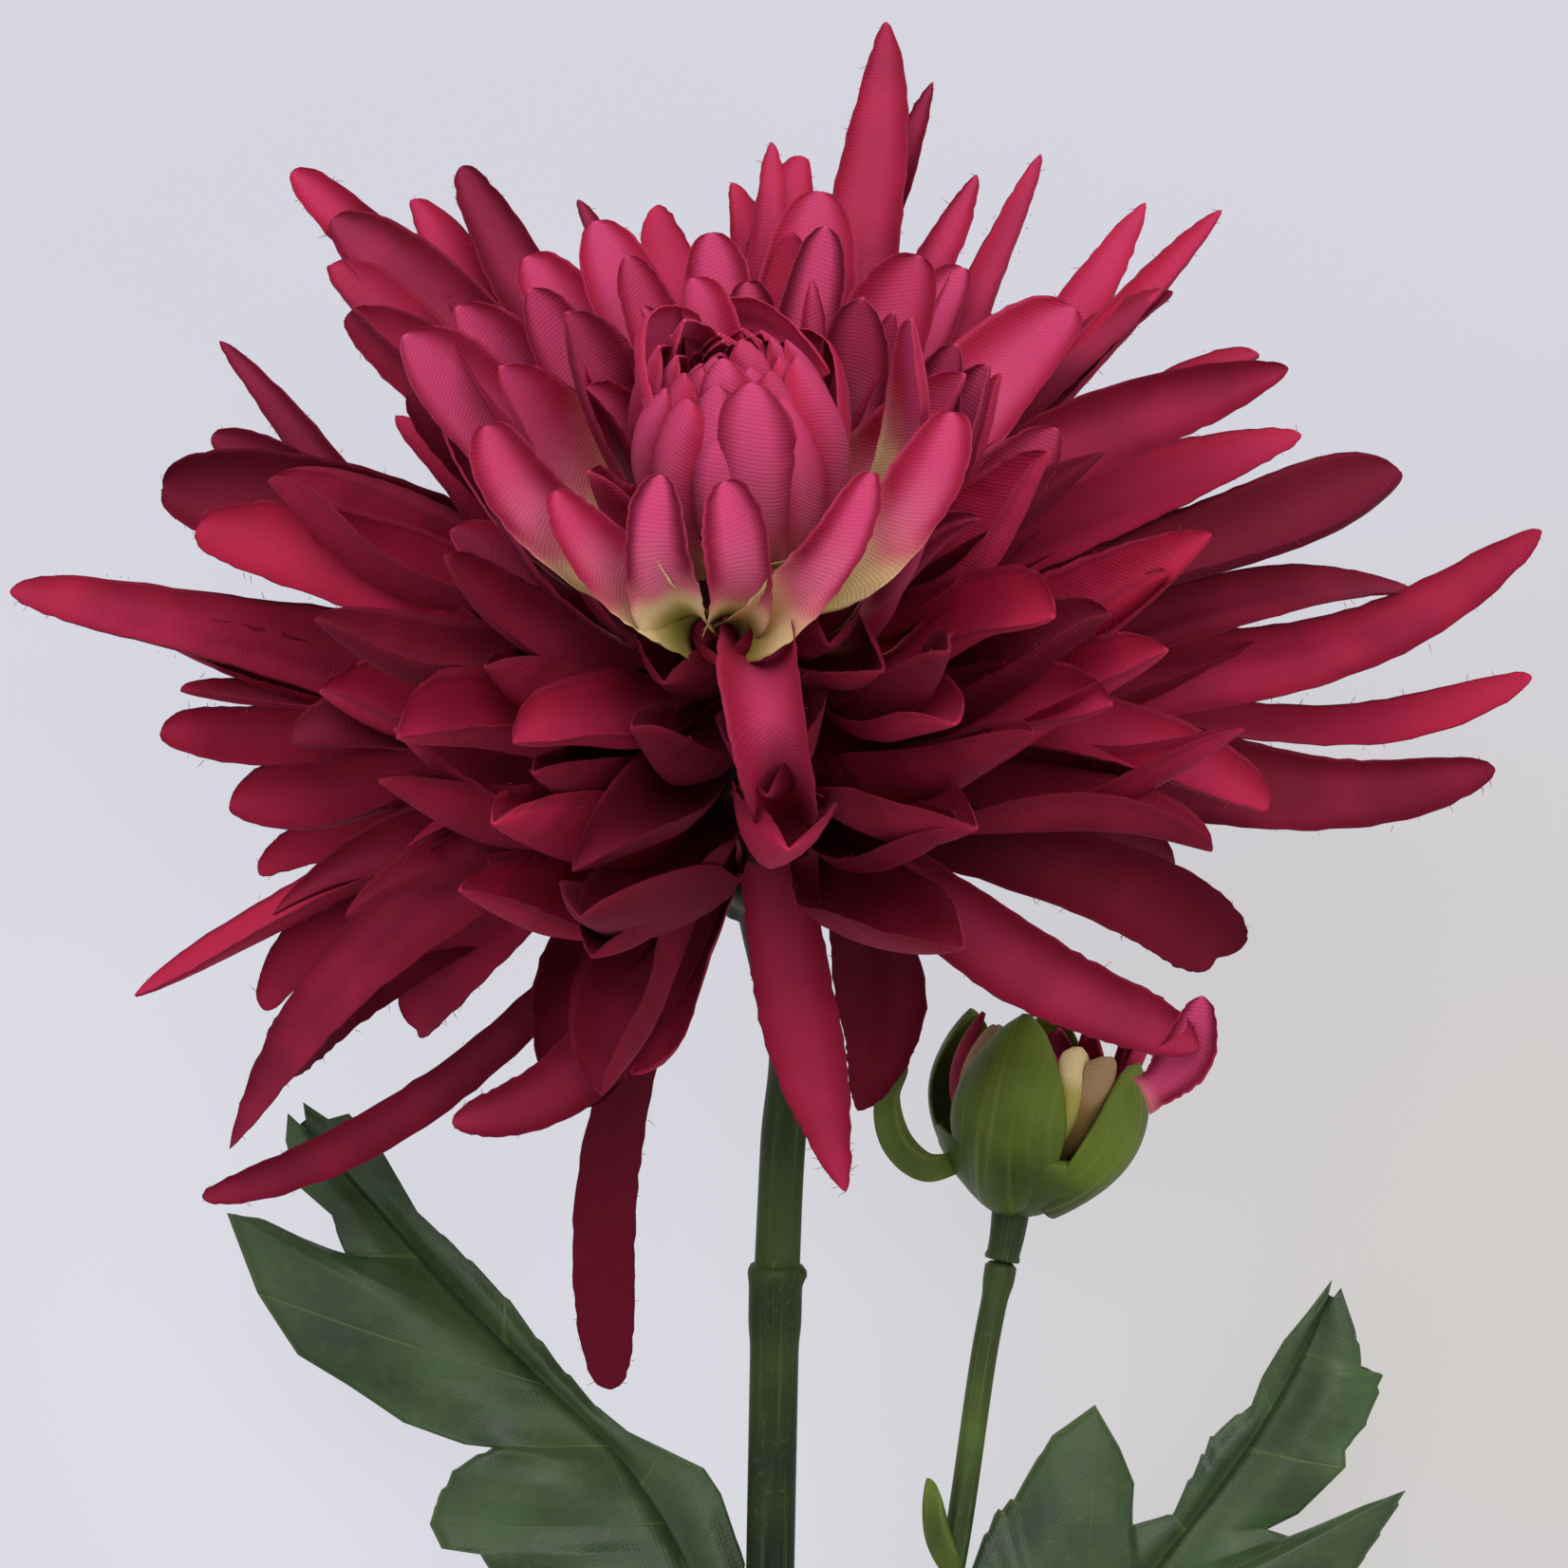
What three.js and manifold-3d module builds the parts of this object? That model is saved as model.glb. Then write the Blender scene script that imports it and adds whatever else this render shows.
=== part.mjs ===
import * as THREE from 'three';
import { mergeVertices } from 'three/addons/utils/BufferGeometryUtils.js';
import Module from 'manifold-3d';

// A cut chrysanthemum of woven fabric petals on a moulded plastic stem, lying on a table.
// Millimetres: X to the right, Y along the stem towards the bloom, Z up from the table.

// Driving dimensions
const BLOOM_TILT = 37;
const CALYX_HEIGHT = 37;
const PETAL_THICKNESS = 0.8;
const LEAF_THICKNESS = 0.8;
const LEAF_SLIT = 0.15;
const GAP = 0.3;
const REST_DIP = 4;
const SHORT_EDGE = 0.15;
const FLAT_FACE = 0.002;
const LEAST_TURN = 0.97;
const HEAD_STEM_RADIUS = 1.95;
const MAIN_STEM_RADIUS = 2.1;
const SIDE_STEM_RADIUS = 1.15;
const COLLAR_SWELL = 0.3;
const SIDE_COLLAR_SWELL = 0.4;
const PEG_STEP = 0.45;
const PEG_START = 0.85;
const NECK_RADIUS = 0.65;
const SEPAL_THICKNESS = 0.9;
const BUD_BASE = [22.1, -32.9, 18];
const BUD_LEAN = 10;
const BUD_RISE = 8;

// The origin lies on the table under the middle of the whole flower
const ORIGIN_SHIFT = [-1.4, 72.74, 0];

const SIN = Math.sin(THREE.MathUtils.degToRad(BLOOM_TILT));
const COS = Math.cos(THREE.MathUtils.degToRad(BLOOM_TILT));

const wasm = await Module();
wasm.setup();

const materials = {
  petals: new THREE.MeshStandardMaterial({ color: 0x9b1e41, roughness: 0.75, metalness: 0 }),
  plastic: new THREE.MeshStandardMaterial({ color: 0x3c5028, roughness: 0.45, metalness: 0 }),
  sepals: new THREE.MeshStandardMaterial({ color: 0x466428, roughness: 0.5, metalness: 0 }),
  leaves: new THREE.MeshStandardMaterial({ color: 0x324b32, roughness: 0.65, metalness: 0 }),
};

const vec = (x, y, z) => new THREE.Vector3(x, y, z);

// What a petal has unless its own row says otherwise
const FLAT_CUT = { roll: 0, cup: 0.4, wave: 0, phase: 0, bend: 0, blunt: 6, waist: 0.32 };

// A repeatable value from 0 to 1 for each number, and one from -1 to 1
function draw(n) {
  const x = Math.sin(n * 12.9898 + 78.233) * 43758.5453;
  return x - Math.floor(x);
}

function spread(n) {
  return 2 * draw(n) - 1;
}

// In the bloom's own frame Z is its axis, and azimuth 90 is its far side
function direction(azimuth, elevation) {
  const a = THREE.MathUtils.degToRad(azimuth);
  const e = THREE.MathUtils.degToRad(elevation);
  return vec(Math.cos(a) * Math.cos(e), Math.sin(a) * Math.cos(e), Math.sin(e));
}

function polar(azimuth, radius, height) {
  const p = direction(azimuth, 0).multiplyScalar(radius);
  p.z = height;
  return p;
}

// The bloom-frame point that, from straight above, shows so far across and up from the calyx
function seen(across, up, rise) {
  return vec(across, (up - COS * rise) / SIN, rise);
}

function bloomToTable(p) {
  return vec(p.x, SIN * p.y + COS * p.z, CALYX_HEIGHT - COS * p.y + SIN * p.z);
}

// The bloom-frame point that lies at x, y and height z over the table
function tableToBloom(x, y, z) {
  const drop = z - CALYX_HEIGHT;
  return vec(x, SIN * y - COS * drop, COS * y + SIN * drop);
}

// The way to the viewer, who looks down on the table, in the bloom's own frame
const SEEN_FROM = vec(0, -COS, SIN);

// The way a petal's side lies, turned so that the petal faces the viewer more
function facedSide(azimuth, chord, facing) {
  const share = facing * (1 + Math.sin(THREE.MathUtils.degToRad(azimuth)));
  const turned = SEEN_FROM.clone().cross(chord.clone().normalize());
  return direction(azimuth + 90, 0).addScaledVector(turned, share).normalize();
}

// 0 on the far half of the bloom, 1 straight towards the viewer
function nearness(tip) {
  return Math.max(0, -tip.y / Math.hypot(tip.x, tip.y));
}

// A petal sets out from the bloom's post at a height and an elevation, and bends over to its tip
function petal(root, tip, launch, swing, facing, shape) {
  const foot = vec(0, 0, root);
  const chord = tip.clone().sub(foot);
  const azimuth = THREE.MathUtils.radToDeg(Math.atan2(chord.y, chord.x)) + swing;
  const out = direction(azimuth, launch);
  const from = foot.add(vec(out.x * 3, out.y * 3, out.z * 0.9));
  const reach = tip.clone().sub(from).length();
  const control = from.clone().addScaledVector(out, reach / 2);
  return { ...FLAT_CUT, from, control, tip, side: facedSide(azimuth, chord, facing), ...shape };
}

// Where no petal of a ring ends, so that the table shows between the hanging petals. Each row:
// least and greatest x, least and greatest y, from the calyx as seen from above.
const CLEAR_PLACES = [[-31, -21, -24, -4.6], [-7.6, 8, -26, -1.6], [15.6, 37.4, -22.6, -4.6]];

function inClearPlace(tip) {
  const { x, y } = bloomToTable(tip);
  return CLEAR_PLACES.some(([left, right, low, high]) => x > left && x < right && y > low && y < high);
}

// A ring of petals round the post. Those of the near side are shorter, and those of the far
// side stand up more. Each sets out below its chord, so that its tip turns up.
function petalRing({ count, turn, root, length, rise, lean, front, scoop, seed }) {
  const made = [];
  for (let k = 0; k < count; k += 1) {
    const n = seed + 7 * k;
    const azimuth = turn + ((k + 0.3 * spread(n)) * 360) / count;
    const far = Math.sin(THREE.MathUtils.degToRad(azimuth));
    const elevation = rise + lean * far + 7 * spread(n + 1);
    const near = Math.max(0, -far);
    const reach = length * (1 + 0.1 * spread(n + 2)) * (1 - (1 - front) * near);
    const tip = direction(azimuth, elevation).multiplyScalar(reach).add(vec(0, 0, root));
    if (inClearPlace(tip)) continue;
    const launch = elevation - scoop - 18 * near + 16 * spread(n + 3);
    made.push(petal(root, tip, launch, 14 * spread(n + 4), 0.5, {
      width: 7.8 * (1 + 0.15 * spread(n + 5)),
      cup: 0.5 + 0.3 * spread(n + 6) + 0.3 * near,
      roll: 40 * spread(n + 4.5),
      blunt: 5 + 3 * spread(n + 5.5),
      wave: 0.25,
      phase: 6 * draw(n + 6.5),
      bend: 3 * spread(n + 3.5),
    }));
  }
  return made;
}

// The outer rings, from the lowest to the highest
const RINGS = [
  { count: 8, turn: 12, root: 3, length: 40, rise: -24, lean: 10, front: 0.62, scoop: 2, seed: 11 },
  { count: 8, turn: 0, root: 6, length: 43, rise: -12, lean: 10, front: 0.7, scoop: 4, seed: 211 },
  { count: 7, turn: 14, root: 9, length: 42, rise: 2, lean: 12, front: 0.72, scoop: 14, seed: 411 },
  { count: 6, turn: 4, root: 13, length: 38, rise: 15, lean: 14, front: 0.75, scoop: 14, seed: 611 },
  { count: 4, turn: 18, root: 17, length: 34, rise: 27, lean: 14, front: 0.75, scoop: 14, seed: 811 },
];

// The long loose petals. Each row: across and up of the tip from the calyx as seen from above,
// rise of the tip along the bloom's axis, root height, launch, swing, width, bluntness, bend.
const LONG_PETALS = [
  // Over the heart, at the far side
  [10.8, 68.8, 50, 18, 30, -6, 6.6, 4, 0],
  [14.8, 63.6, 46, 17, 30, 8, 4.4, 3.5, 0],
  [1, 58, 44, 20, 45, 0, 4.2, 4, 0],
  [3.6, 57, 42, 20, 40, 8, 5.2, 6, 0],
  [-2.4, 54.8, 40, 19, 40, -8, 4.5, 4, 0],
  [-8.8, 52.5, 40, 20, 45, 0, 4.6, 7, 0],
  [-15.6, 53.5, 38, 17, 35, 0, 4.2, 4, 0],
  [-12.8, 51, 40, 21, 50, 8, 3.2, 6, 0],
  [-25.4, 56, 42, 15, 30, 0, 5.2, 8, 0],
  [-29.8, 53.5, 38, 13, 28, 5, 5, 6, 0],
  [-40, 56, 40, 12, 25, -8, 5.4, 8, 0],
  [-36.4, 51.6, 38, 14, 30, -8, 7, 7, 0],
  [-36.4, 47.5, 36, 15, 30, 8, 6.2, 7, 0],
  [-34.8, 43, 34, 17, 35, 0, 6.6, 6, 0],
  // To the left
  [-47, 42, 24, 9, -20, 12, 4.8, 4, -4],
  [-47.2, 33.5, 20, 7, 15, 0, 5.6, 7, 0],
  [-50.8, 28.8, 20, 11, 20, -6, 8.6, 9, 0],
  [-64, 20, 12, 6, 5, 0, 8.2, 4.5, 0],
  [-53.6, 17.2, 10, 5, 0, 6, 6.2, 4, 0],
  [-47, 25, 22, 12, 20, 5, 7.4, 8, 0],
  [-49, 11.5, 8, 7, 15, -4, 7, 8, 3],
  [-51.2, 8, 2, 5, 12, 6, 6.4, 8, 3],
  [-45.2, 1.6, -2, 3, 10, 0, 7, 8, 3],
  [-43.2, -4, -10, 2, 5, 0, 4.6, 7, 0],
  // Down to the left
  [-53.4, -14.6, -16, 3, 5, 6, 8.4, 3, 2],
  [-42.4, -15.6, -16, 5, 15, -6, 6.4, 7, 0],
  // Down to the right
  [42.8, 1.6, 2, 8, 25, -8, 6.4, 6, 0],
  [62.8, 4.8, 0, 3, -8, 8, 7.8, 5, 4],
  [66.4, 12.8, 4, 5, -6, 10, 4.6, 8, 5],
  [56.4, 20, 10, 9, 15, -8, 5, 5, -2],
  [66.8, 25.2, 16, 6, 0, -6, 7, 4.5, 4],
  [54.4, 30, 22, 10, 15, -6, 8.6, 9, 2],
  [46, 33.2, 24, 12, 20, 6, 5.8, 6, 0],
  [44.4, 38.4, 32, 14, 35, 10, 7, 4, 0],
  [43.2, 40.8, 24, 10, 15, 10, 6.8, 8, 0],
  [40, 53.2, 34, 14, 30, -14, 4.4, 3.5, 0],
  [35.2, 45.6, 32, 15, 35, 0, 5.6, 6, 0],
  [33.2, 53.6, 36, 12, 30, -10, 5.6, 3.5, 0],
  [24, 57.2, 42, 15, 35, -10, 6.2, 3.5, 0],
  [18.4, 55.2, 42, 18, 40, 0, 4, 4, 0],
];

// The petals over the middle, at the near side, curl up at their ends like scoops. Same numbers.
const SCOOP_PETALS = [
  [-7.5, 11.6, 26, 21, 0, 0, 8, 7, 0],
  [10, 12.6, 27, 21, 0, 8, 8, 7, 0],
  [-2.6, 13.4, 28, 24, 0, 0, 7, 6, 0],
  [5.6, 14.6, 29, 24, 5, 0, 7, 6, 0],
  [2.4, -1.6, 20, 10, 0, -6, 7, 7, 0],
  [-10, 8, 25, 16, -5, 12, 6.6, 6, 3],
  [-17.8, 4.4, 22, 12, -10, -10, 7, 4, 0],
  [-30.7, 3.8, 15, 9, -15, 12, 6.8, 4, 2],
  [-21, 0.4, 18, 8, -20, -8, 8.4, 5, 0],
  [-14, -7, 14, 5, -25, 0, 8.6, 8, 0],
  [-24, -5, 10, 5, -20, 4, 7.4, 6, 2],
  [15, 14, 31, 15, 10, 10, 7.4, 5, 0],
  [21.8, 7.6, 24, 12, -15, -10, 7.4, 4, 0],
  [28.4, 17.2, 27, 14, 0, -8, 6.4, 5, -2],
  [33.2, 14.4, 23, 12, -10, -10, 7, 6, -2],
  [39.7, 8, 15, 9, -12, -4, 7.4, 4, 2],
  [16, 0, 16, 7, -15, 6, 7, 5, 0],
  [16.4, -9.6, 8, 4, -25, 8, 8, 7, 0],
  [37.2, 24, 27, 16, 0, -10, 7.8, 4, -2],
  [23.6, 30.4, 36, 19, 25, -16, 6.6, 5, 0],
  [-40.8, 28.8, 27, 16, 20, 8, 7, 8, 2],
  [-40, 24.8, 21, 14, 15, 8, 7.2, 8, 0],
  [-36.4, 11.2, 14, 12, 15, 4, 7.4, 8, 2],
  [-29.6, 8, 17, 12, 0, 8, 7.4, 5, 3],
  [-22, 13, 24, 15, -5, 10, 7.6, 6, 2],
];

// The hanging petals are led through a middle point. Each row: x and y of the middle from the
// calyx and its height over the table, the same of the tip, how far from the axis and how high it
// starts, width, bluntness, cup, roll, waist.
const HANGING_PETALS = [
  // To the left of the stem
  [[-18, -3.5, 46], [-29, -17.3, 34], 3, 6, 7.6, 8, 0.4, 12, 0.5],
  [[-25.9, -5, 46], [-45.8, -28, 24], 3, 5, 8.6, 2.6, 0.3, 0, 0.5],
  [[-26.8, -19.5, 30], [-48.2, -32.2, 24], 3, 4, 3.4, 9, 0.3, 10, 0.7],
  [[-12.1, -10.3, 40], [-14.9, -23.7, 40], 3, 4, 10.5, 5, 0.4, 0, 0.5],
  [[-11.4, -17.3, 44], [-25.5, -24.6, 44], 3, 6, 6, 5, 0.4, 20, 0.5],
  [[-12.2, -26, 30], [-13, -49.2, 20], 5, 3, 5.2, 14, 0.1, -6, 0.7],
  // To the right of it
  [[2.9, -13.5, 40], [7.3, -30.9, 36], 5, 4, 7.2, 3.4, 0.35, 0, 0.9],
  [[10.2, -13.8, 32], [8.4, -24.5, 28], 7, 2, 8.4, 3, 0.3, 0, 0.6],
  [[19.6, -10.4, 44], [36.3, -18.4, 47], 3, 6.6, 6.8, 7, 0.4, -20, 0.6],
  [[28.8, -4.1, 44], [38.3, -11, 40], 3, 3, 7.6, 7, 0.4, 25, 0.6],
  // In front of the heart
  [[1.3, 9.2, 71], [2.8, 1.5, 61], 3, 22, 7, 6, 0.5, 14, 0.8],
];

// The cup of paler petals round the heart. Each row: across, up, rise, root, launch, swing,
// width, bluntness.
const CUP_PETALS = [
  [-6.3, 28.3, 43, 21, 35, 6, 6.6, 6],
  [-2.2, 29, 43, 21, 35, -4, 7.4, 8],
  [3.4, 29.1, 44, 21, 40, 6, 5.6, 8],
  [-15.7, 27.9, 41, 20, 25, -6, 8.4, 7],
  [8.6, 27.4, 42, 20, 25, 10, 7.6, 6],
  [-20.6, 36.9, 45, 21, 35, 0, 7.2, 8],
  [-28.7, 39.8, 44, 19, 30, 0, 9.4, 9],
  [-24.6, 42.4, 44, 20, 35, 0, 8, 7],
  [-18.6, 43.6, 47, 22, 40, 0, 6.6, 8],
  [-15.2, 41, 50, 23, 45, 0, 7, 9],
  [12.1, 40.2, 52, 22, 30, 10, 6.6, 4.5],
  [16, 38.9, 45, 20, 30, 6, 6.4, 7],
  [18.6, 37.3, 43, 20, 30, -6, 6.6, 5],
  [26.4, 43.4, 36, 18, 30, 0, 8.8, 8],
  [8.4, 42.6, 48, 22, 45, 0, 6.6, 9],
  [-19.4, 47.3, 42, 20, 40, 0, 7, 9],
  [-13.6, 50, 46, 21, 45, 0, 6.8, 9],
  [-10.8, 46.6, 47, 23, 50, 0, 5.4, 8],
  [-4, 49.1, 45, 21, 50, 0, 6.2, 9],
  [5.1, 53.2, 44, 20, 40, 0, 8.6, 8],
  [5.5, 49.3, 47, 22, 50, 0, 6, 7],
  [13.3, 47.3, 43, 20, 40, 0, 8.2, 9],
  [17.2, 46.9, 38, 18, 35, 0, 6.2, 8],
  [24.6, 32.8, 33, 17, 15, -8, 7.6, 6],
  [-25.8, 33.6, 37, 18, 20, 6, 8, 7],
  [-22.2, 27.4, 33, 18, 10, 8, 7.8, 6],
  [-25.3, 24.4, 27, 16, 5, 6, 7.6, 6],
  [12.6, 24.6, 36, 18, 10, 10, 7.2, 8],
  [19.4, 24, 28, 17, 5, -8, 8, 6],
  [-11.4, 26.6, 38, 20, 20, 4, 8, 7],
  [14.4, 27.8, 40, 20, 20, -4, 7.6, 7],
  [9.6, 21.6, 33, 19, 5, 10, 7.6, 7],
  [-15.8, 22.8, 31, 18, 5, -8, 8, 7],
];

// The far petals that the bloom rests on: they come down and lie along the table. Each row:
// x and y of the tip from the calyx, root height, width.
const REST_PETALS = [
  [-23, 23, 5, 8.4],
  [22, 25, 5, 8.4],
  [1, 28, 4, 8.4],
];

// The heart's petals close over it in two rows. Each row of numbers: count, turn, bulge,
// root height, tip height, lip radius, width, seed.
const HEART_ROWS = [
  [9, 250, 13, 25, 46, 5.4, 8.2, 1500],
  [7, 272, 11, 26, 48, 4, 7.4, 1600],
];

// The whole heart leans a little to one side
const HEART_LEAN = vec(-2.4, 0, 0);

// Petals that lie round the heart's opening: start and end azimuth, radius, start and end
// height, bulge, width.
const HEART_WRAPS = [
  [165, 20, 8.6, 39, 43.5, 17, 5.6],
  [100, -10, 9.4, 42, 36, 17, 6.4],
  [215, 110, 6.5, 42, 46, 11, 5],
];

// The post that all the petals are set in, as radius and height along the bloom's axis
const POST_PROFILE = [
  [0, -1], [5.5, -1], [8.5, 3], [8.8, 12], [8.6, 24], [9, 31], [9, 36], [7, 42], [4, 44], [0, 43],
];

function longPetal([across, up, rise, root, launch, swing, width, blunt, bend], k, scoop) {
  return petal(root, seen(across, up, rise), launch - 25 * scoop, swing, 0.5, {
    width: width * 1.1,
    blunt,
    bend,
    cup: 0.35 + 0.2 * spread(500 + k) + 0.45 * scoop,
    roll: 20 * spread(600 + k),
    wave: 0.15,
    phase: 6 * draw(700 + k),
  });
}

function longPetals() {
  const outer = LONG_PETALS.map((row, k) => longPetal(row, k, 0));
  const scoops = SCOOP_PETALS.map((row, k) => longPetal(row, k + 80, 1));
  return [...outer, ...scoops];
}

function hangingPetals() {
  return HANGING_PETALS.map(([middlePlace, tipPlace, start, root, width, blunt, cup, roll, waist]) => {
    const middle = tableToBloom(...middlePlace);
    const tip = tableToBloom(...tipPlace);
    const azimuth = THREE.MathUtils.radToDeg(Math.atan2(middle.y, middle.x));
    const from = polar(azimuth, start, root);
    const control = middle.clone().multiplyScalar(2).addScaledVector(from, -0.5).addScaledVector(tip, -0.5);
    const side = SEEN_FROM.clone().cross(tip.clone().sub(from)).normalize();
    return { ...FLAT_CUT, from, control, tip, side, width, blunt, cup, roll, waist };
  });
}

function cupPetals() {
  return CUP_PETALS.map(([across, up, rise, root, launch, swing, width, blunt], k) => {
    const tip = seen(across, up, rise);
    const near = nearness(tip);
    return petal(root + 5 * near, tip, launch - 40 * near, swing, 1, {
      width: width * 1.15,
      blunt,
      waist: 0.7,
      cup: 0.5 + 0.2 * spread(900 + k),
      roll: 8 * spread(950 + k),
    });
  });
}

function restPetals() {
  return REST_PETALS.map(([x, y, root, width]) => {
    const tip = tableToBloom(x, y, -REST_DIP);
    const shape = petal(root, tip, 0, 0, 0, { width, blunt: 8, cup: 0.1 });
    shape.control = tableToBloom(0.62 * x, 0.62 * y, -3 * REST_DIP);
    // Its side lies level, square to the way it runs over the table
    shape.side = vec(-y, SIN * x, COS * x).normalize();
    return shape;
  });
}

function heartPetals() {
  const made = [];
  for (const [count, turn, bulge, low, high, lip, width, seed] of HEART_ROWS) {
    for (let k = 0; k < count; k += 1) {
      const azimuth = turn + (360 * k) / count + 6 * spread(seed + k);
      made.push({
        ...FLAT_CUT,
        from: polar(azimuth, 3, low),
        control: polar(azimuth, bulge, low + 13).addScaledVector(HEART_LEAN, 0.6),
        tip: polar(azimuth + 14, lip, high + 1.2 * spread(seed + k + 20)).add(HEART_LEAN),
        side: direction(azimuth + 90, 0),
        width,
        roll: 8 * spread(seed + k + 90),
        cup: 0.45,
        blunt: 7,
        waist: 0.8,
      });
    }
  }
  return made;
}

function heartWraps() {
  return HEART_WRAPS.map(([start, end, radius, low, high, bulge, width]) => ({
    ...FLAT_CUT,
    from: polar(start, radius, low).add(HEART_LEAN),
    control: polar((start + end) / 2, bulge, (low + high) / 2 + 5).add(HEART_LEAN),
    tip: polar(end, radius, high).add(HEART_LEAN),
    side: vec(0, 0, 1),
    width,
    cup: 0.2,
  }));
}

// Half the petal's width at t, from its waist at the post to its rounded or pointed tip
function halfWidth(shape, t) {
  const s = Math.min(t / 0.6, 1);
  const body = shape.waist + (1 - shape.waist) * s * s * (3 - 2 * s);
  const power = shape.blunt > 5 ? 0.5 : 0.5 + 0.12 * (5 - shape.blunt);
  return (shape.width / 2) * body * (1 - t ** shape.blunt) ** power;
}

// The point of the petal's middle line at t, with the directions of its side and its face
function petalFrame(shape, t) {
  const { from, control, tip, bend } = shape;
  const turn = 2 * Math.PI * t;
  const centre = from.clone().multiplyScalar((1 - t) ** 2);
  centre.addScaledVector(control, 2 * t * (1 - t)).addScaledVector(tip, t * t);
  centre.z += bend * t * Math.sin(turn);
  const along = control.clone().sub(from).multiplyScalar(2 * (1 - t));
  along.addScaledVector(tip.clone().sub(control), 2 * t);
  along.z += bend * (Math.sin(turn) + turn * Math.cos(turn));
  along.normalize();
  const side = shape.side.clone();
  side.addScaledVector(along, -along.dot(side)).normalize();
  side.applyAxisAngle(along, THREE.MathUtils.degToRad(shape.roll * t));
  const face = along.clone().cross(side);
  return { centre, side, face };
}

// Four points round the petal at t: its two thin edges, and its middle above and below
function petalSection(shape, t) {
  const { centre, side, face } = petalFrame(shape, t);
  const half = halfWidth(shape, t);
  const lift = shape.cup * half;
  const wave = shape.wave * half * Math.sin(7 * t + shape.phase);
  const left = centre.clone().addScaledVector(side, -half).addScaledVector(face, lift - wave);
  const right = centre.clone().addScaledVector(side, half).addScaledVector(face, lift + wave);
  const over = centre.clone().addScaledVector(face, PETAL_THICKNESS / 2);
  const under = centre.clone().addScaledVector(face, -PETAL_THICKNESS / 2);
  return [left, under, right, over];
}

// No petal dips through the table: what would is pressed flat on it
function pressOnTable(section) {
  const lowest = [0, 0, 0, PETAL_THICKNESS];
  return section.map((point, k) => vec(point.x, point.y, Math.max(point.z, lowest[k])));
}

// A closed skin through rings of points, with a flat fan at its start and a tip point or
// another fan at its end. The second half of each ring is split the other way round, so that
// both faces of a thin blade fold along the same lines.
function loft(rings, tip) {
  const count = rings[0].length;
  const points = rings.flat();
  const faces = [];
  for (let i = 0; i + 1 < rings.length; i += 1) {
    for (let j = 0; j < count; j += 1) {
      const a = i * count + j;
      const b = i * count + ((j + 1) % count);
      if (j < count / 2) faces.push(a, b, b + count, a, b + count, a + count);
      else faces.push(a, b, a + count, b, b + count, a + count);
    }
  }
  const last = (rings.length - 1) * count;
  for (let j = 1; j + 1 < count; j += 1) {
    faces.push(0, j + 1, j);
    if (!tip) faces.push(last, last + j, last + j + 1);
  }
  if (tip) {
    points.push(tip);
    for (let j = 0; j < count; j += 1) {
      faces.push(last + j, last + ((j + 1) % count), points.length - 1);
    }
  }
  return closedGeometry(points, faces);
}

// A geometry of shared points whose faces are turned outwards
function closedGeometry(allPoints, allFaces) {
  const order = new Map();
  const points = [];
  const faces = allFaces.map((corner) => {
    if (!order.has(corner)) {
      order.set(corner, points.length);
      points.push(allPoints[corner]);
    }
    return order.get(corner);
  });
  let volume = 0;
  for (let k = 0; k < faces.length; k += 3) {
    const [a, b, c] = [points[faces[k]], points[faces[k + 1]], points[faces[k + 2]]];
    volume += a.dot(b.clone().cross(c)) / 6;
  }
  const index = volume > 0 ? faces : faces.toReversed();
  const geometry = new THREE.BufferGeometry();
  geometry.setFromPoints(points);
  geometry.setIndex(index);
  return geometry;
}

function solid(geometry) {
  const merged = geometry.clone();
  merged.deleteAttribute('normal');
  merged.deleteAttribute('uv');
  const closed = mergeVertices(merged, 1e-5);
  return new wasm.Manifold(new wasm.Mesh({
    numProp: 3,
    vertProperties: new Float32Array(closed.attributes.position.array),
    triVerts: new Uint32Array(closed.index.array),
  }));
}

// Joins solids two by two until one is left
function fuse(solids) {
  let rest = solids;
  while (rest.length > 1) {
    const joined = [];
    for (let k = 0; k + 1 < rest.length; k += 2) joined.push(rest[k].add(rest[k + 1]));
    if (rest.length % 2) joined.push(rest[rest.length - 1]);
    rest = joined;
  }
  return rest[0];
}

// The outer skin of a fused solid, as one closed body
function outerSkin(fused, shortest = 0.04) {
  const { vertProperties, triVerts } = fused.getMesh();
  const group = new Int32Array(vertProperties.length / 3).map((_, k) => k);
  const top = (k) => {
    let found = k;
    while (group[found] !== found) found = group[found];
    return found;
  };
  for (let k = 0; k < triVerts.length; k += 3) {
    const a = top(triVerts[k]);
    group[top(triVerts[k + 1])] = a;
    group[top(triVerts[k + 2])] = a;
  }
  const sizes = new Map();
  for (const corner of triVerts) sizes.set(top(corner), (sizes.get(top(corner)) ?? 0) + 1);
  const largest = [...sizes].sort((a, b) => b[1] - a[1])[0][0];
  const kept = [];
  for (let k = 0; k < triVerts.length; k += 3) {
    if (top(triVerts[k]) === largest) kept.push(...triVerts.slice(k, k + 3));
  }
  const points = [];
  const order = new Map();
  const index = kept.map((corner) => {
    if (!order.has(corner)) {
      order.set(corner, points.length);
      points.push(new THREE.Vector3().fromArray(vertProperties, corner * 3));
    }
    return order.get(corner);
  });
  return closedGeometry(points, withoutShortEdges(points, index, shortest));
}

const edgeVector = new THREE.Vector3();
const otherEdge = new THREE.Vector3();

function faceNormal(a, b, c) {
  edgeVector.subVectors(b, a);
  otherEdge.subVectors(c, a);
  return new THREE.Vector3().crossVectors(edgeVector, otherEdge);
}

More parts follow.
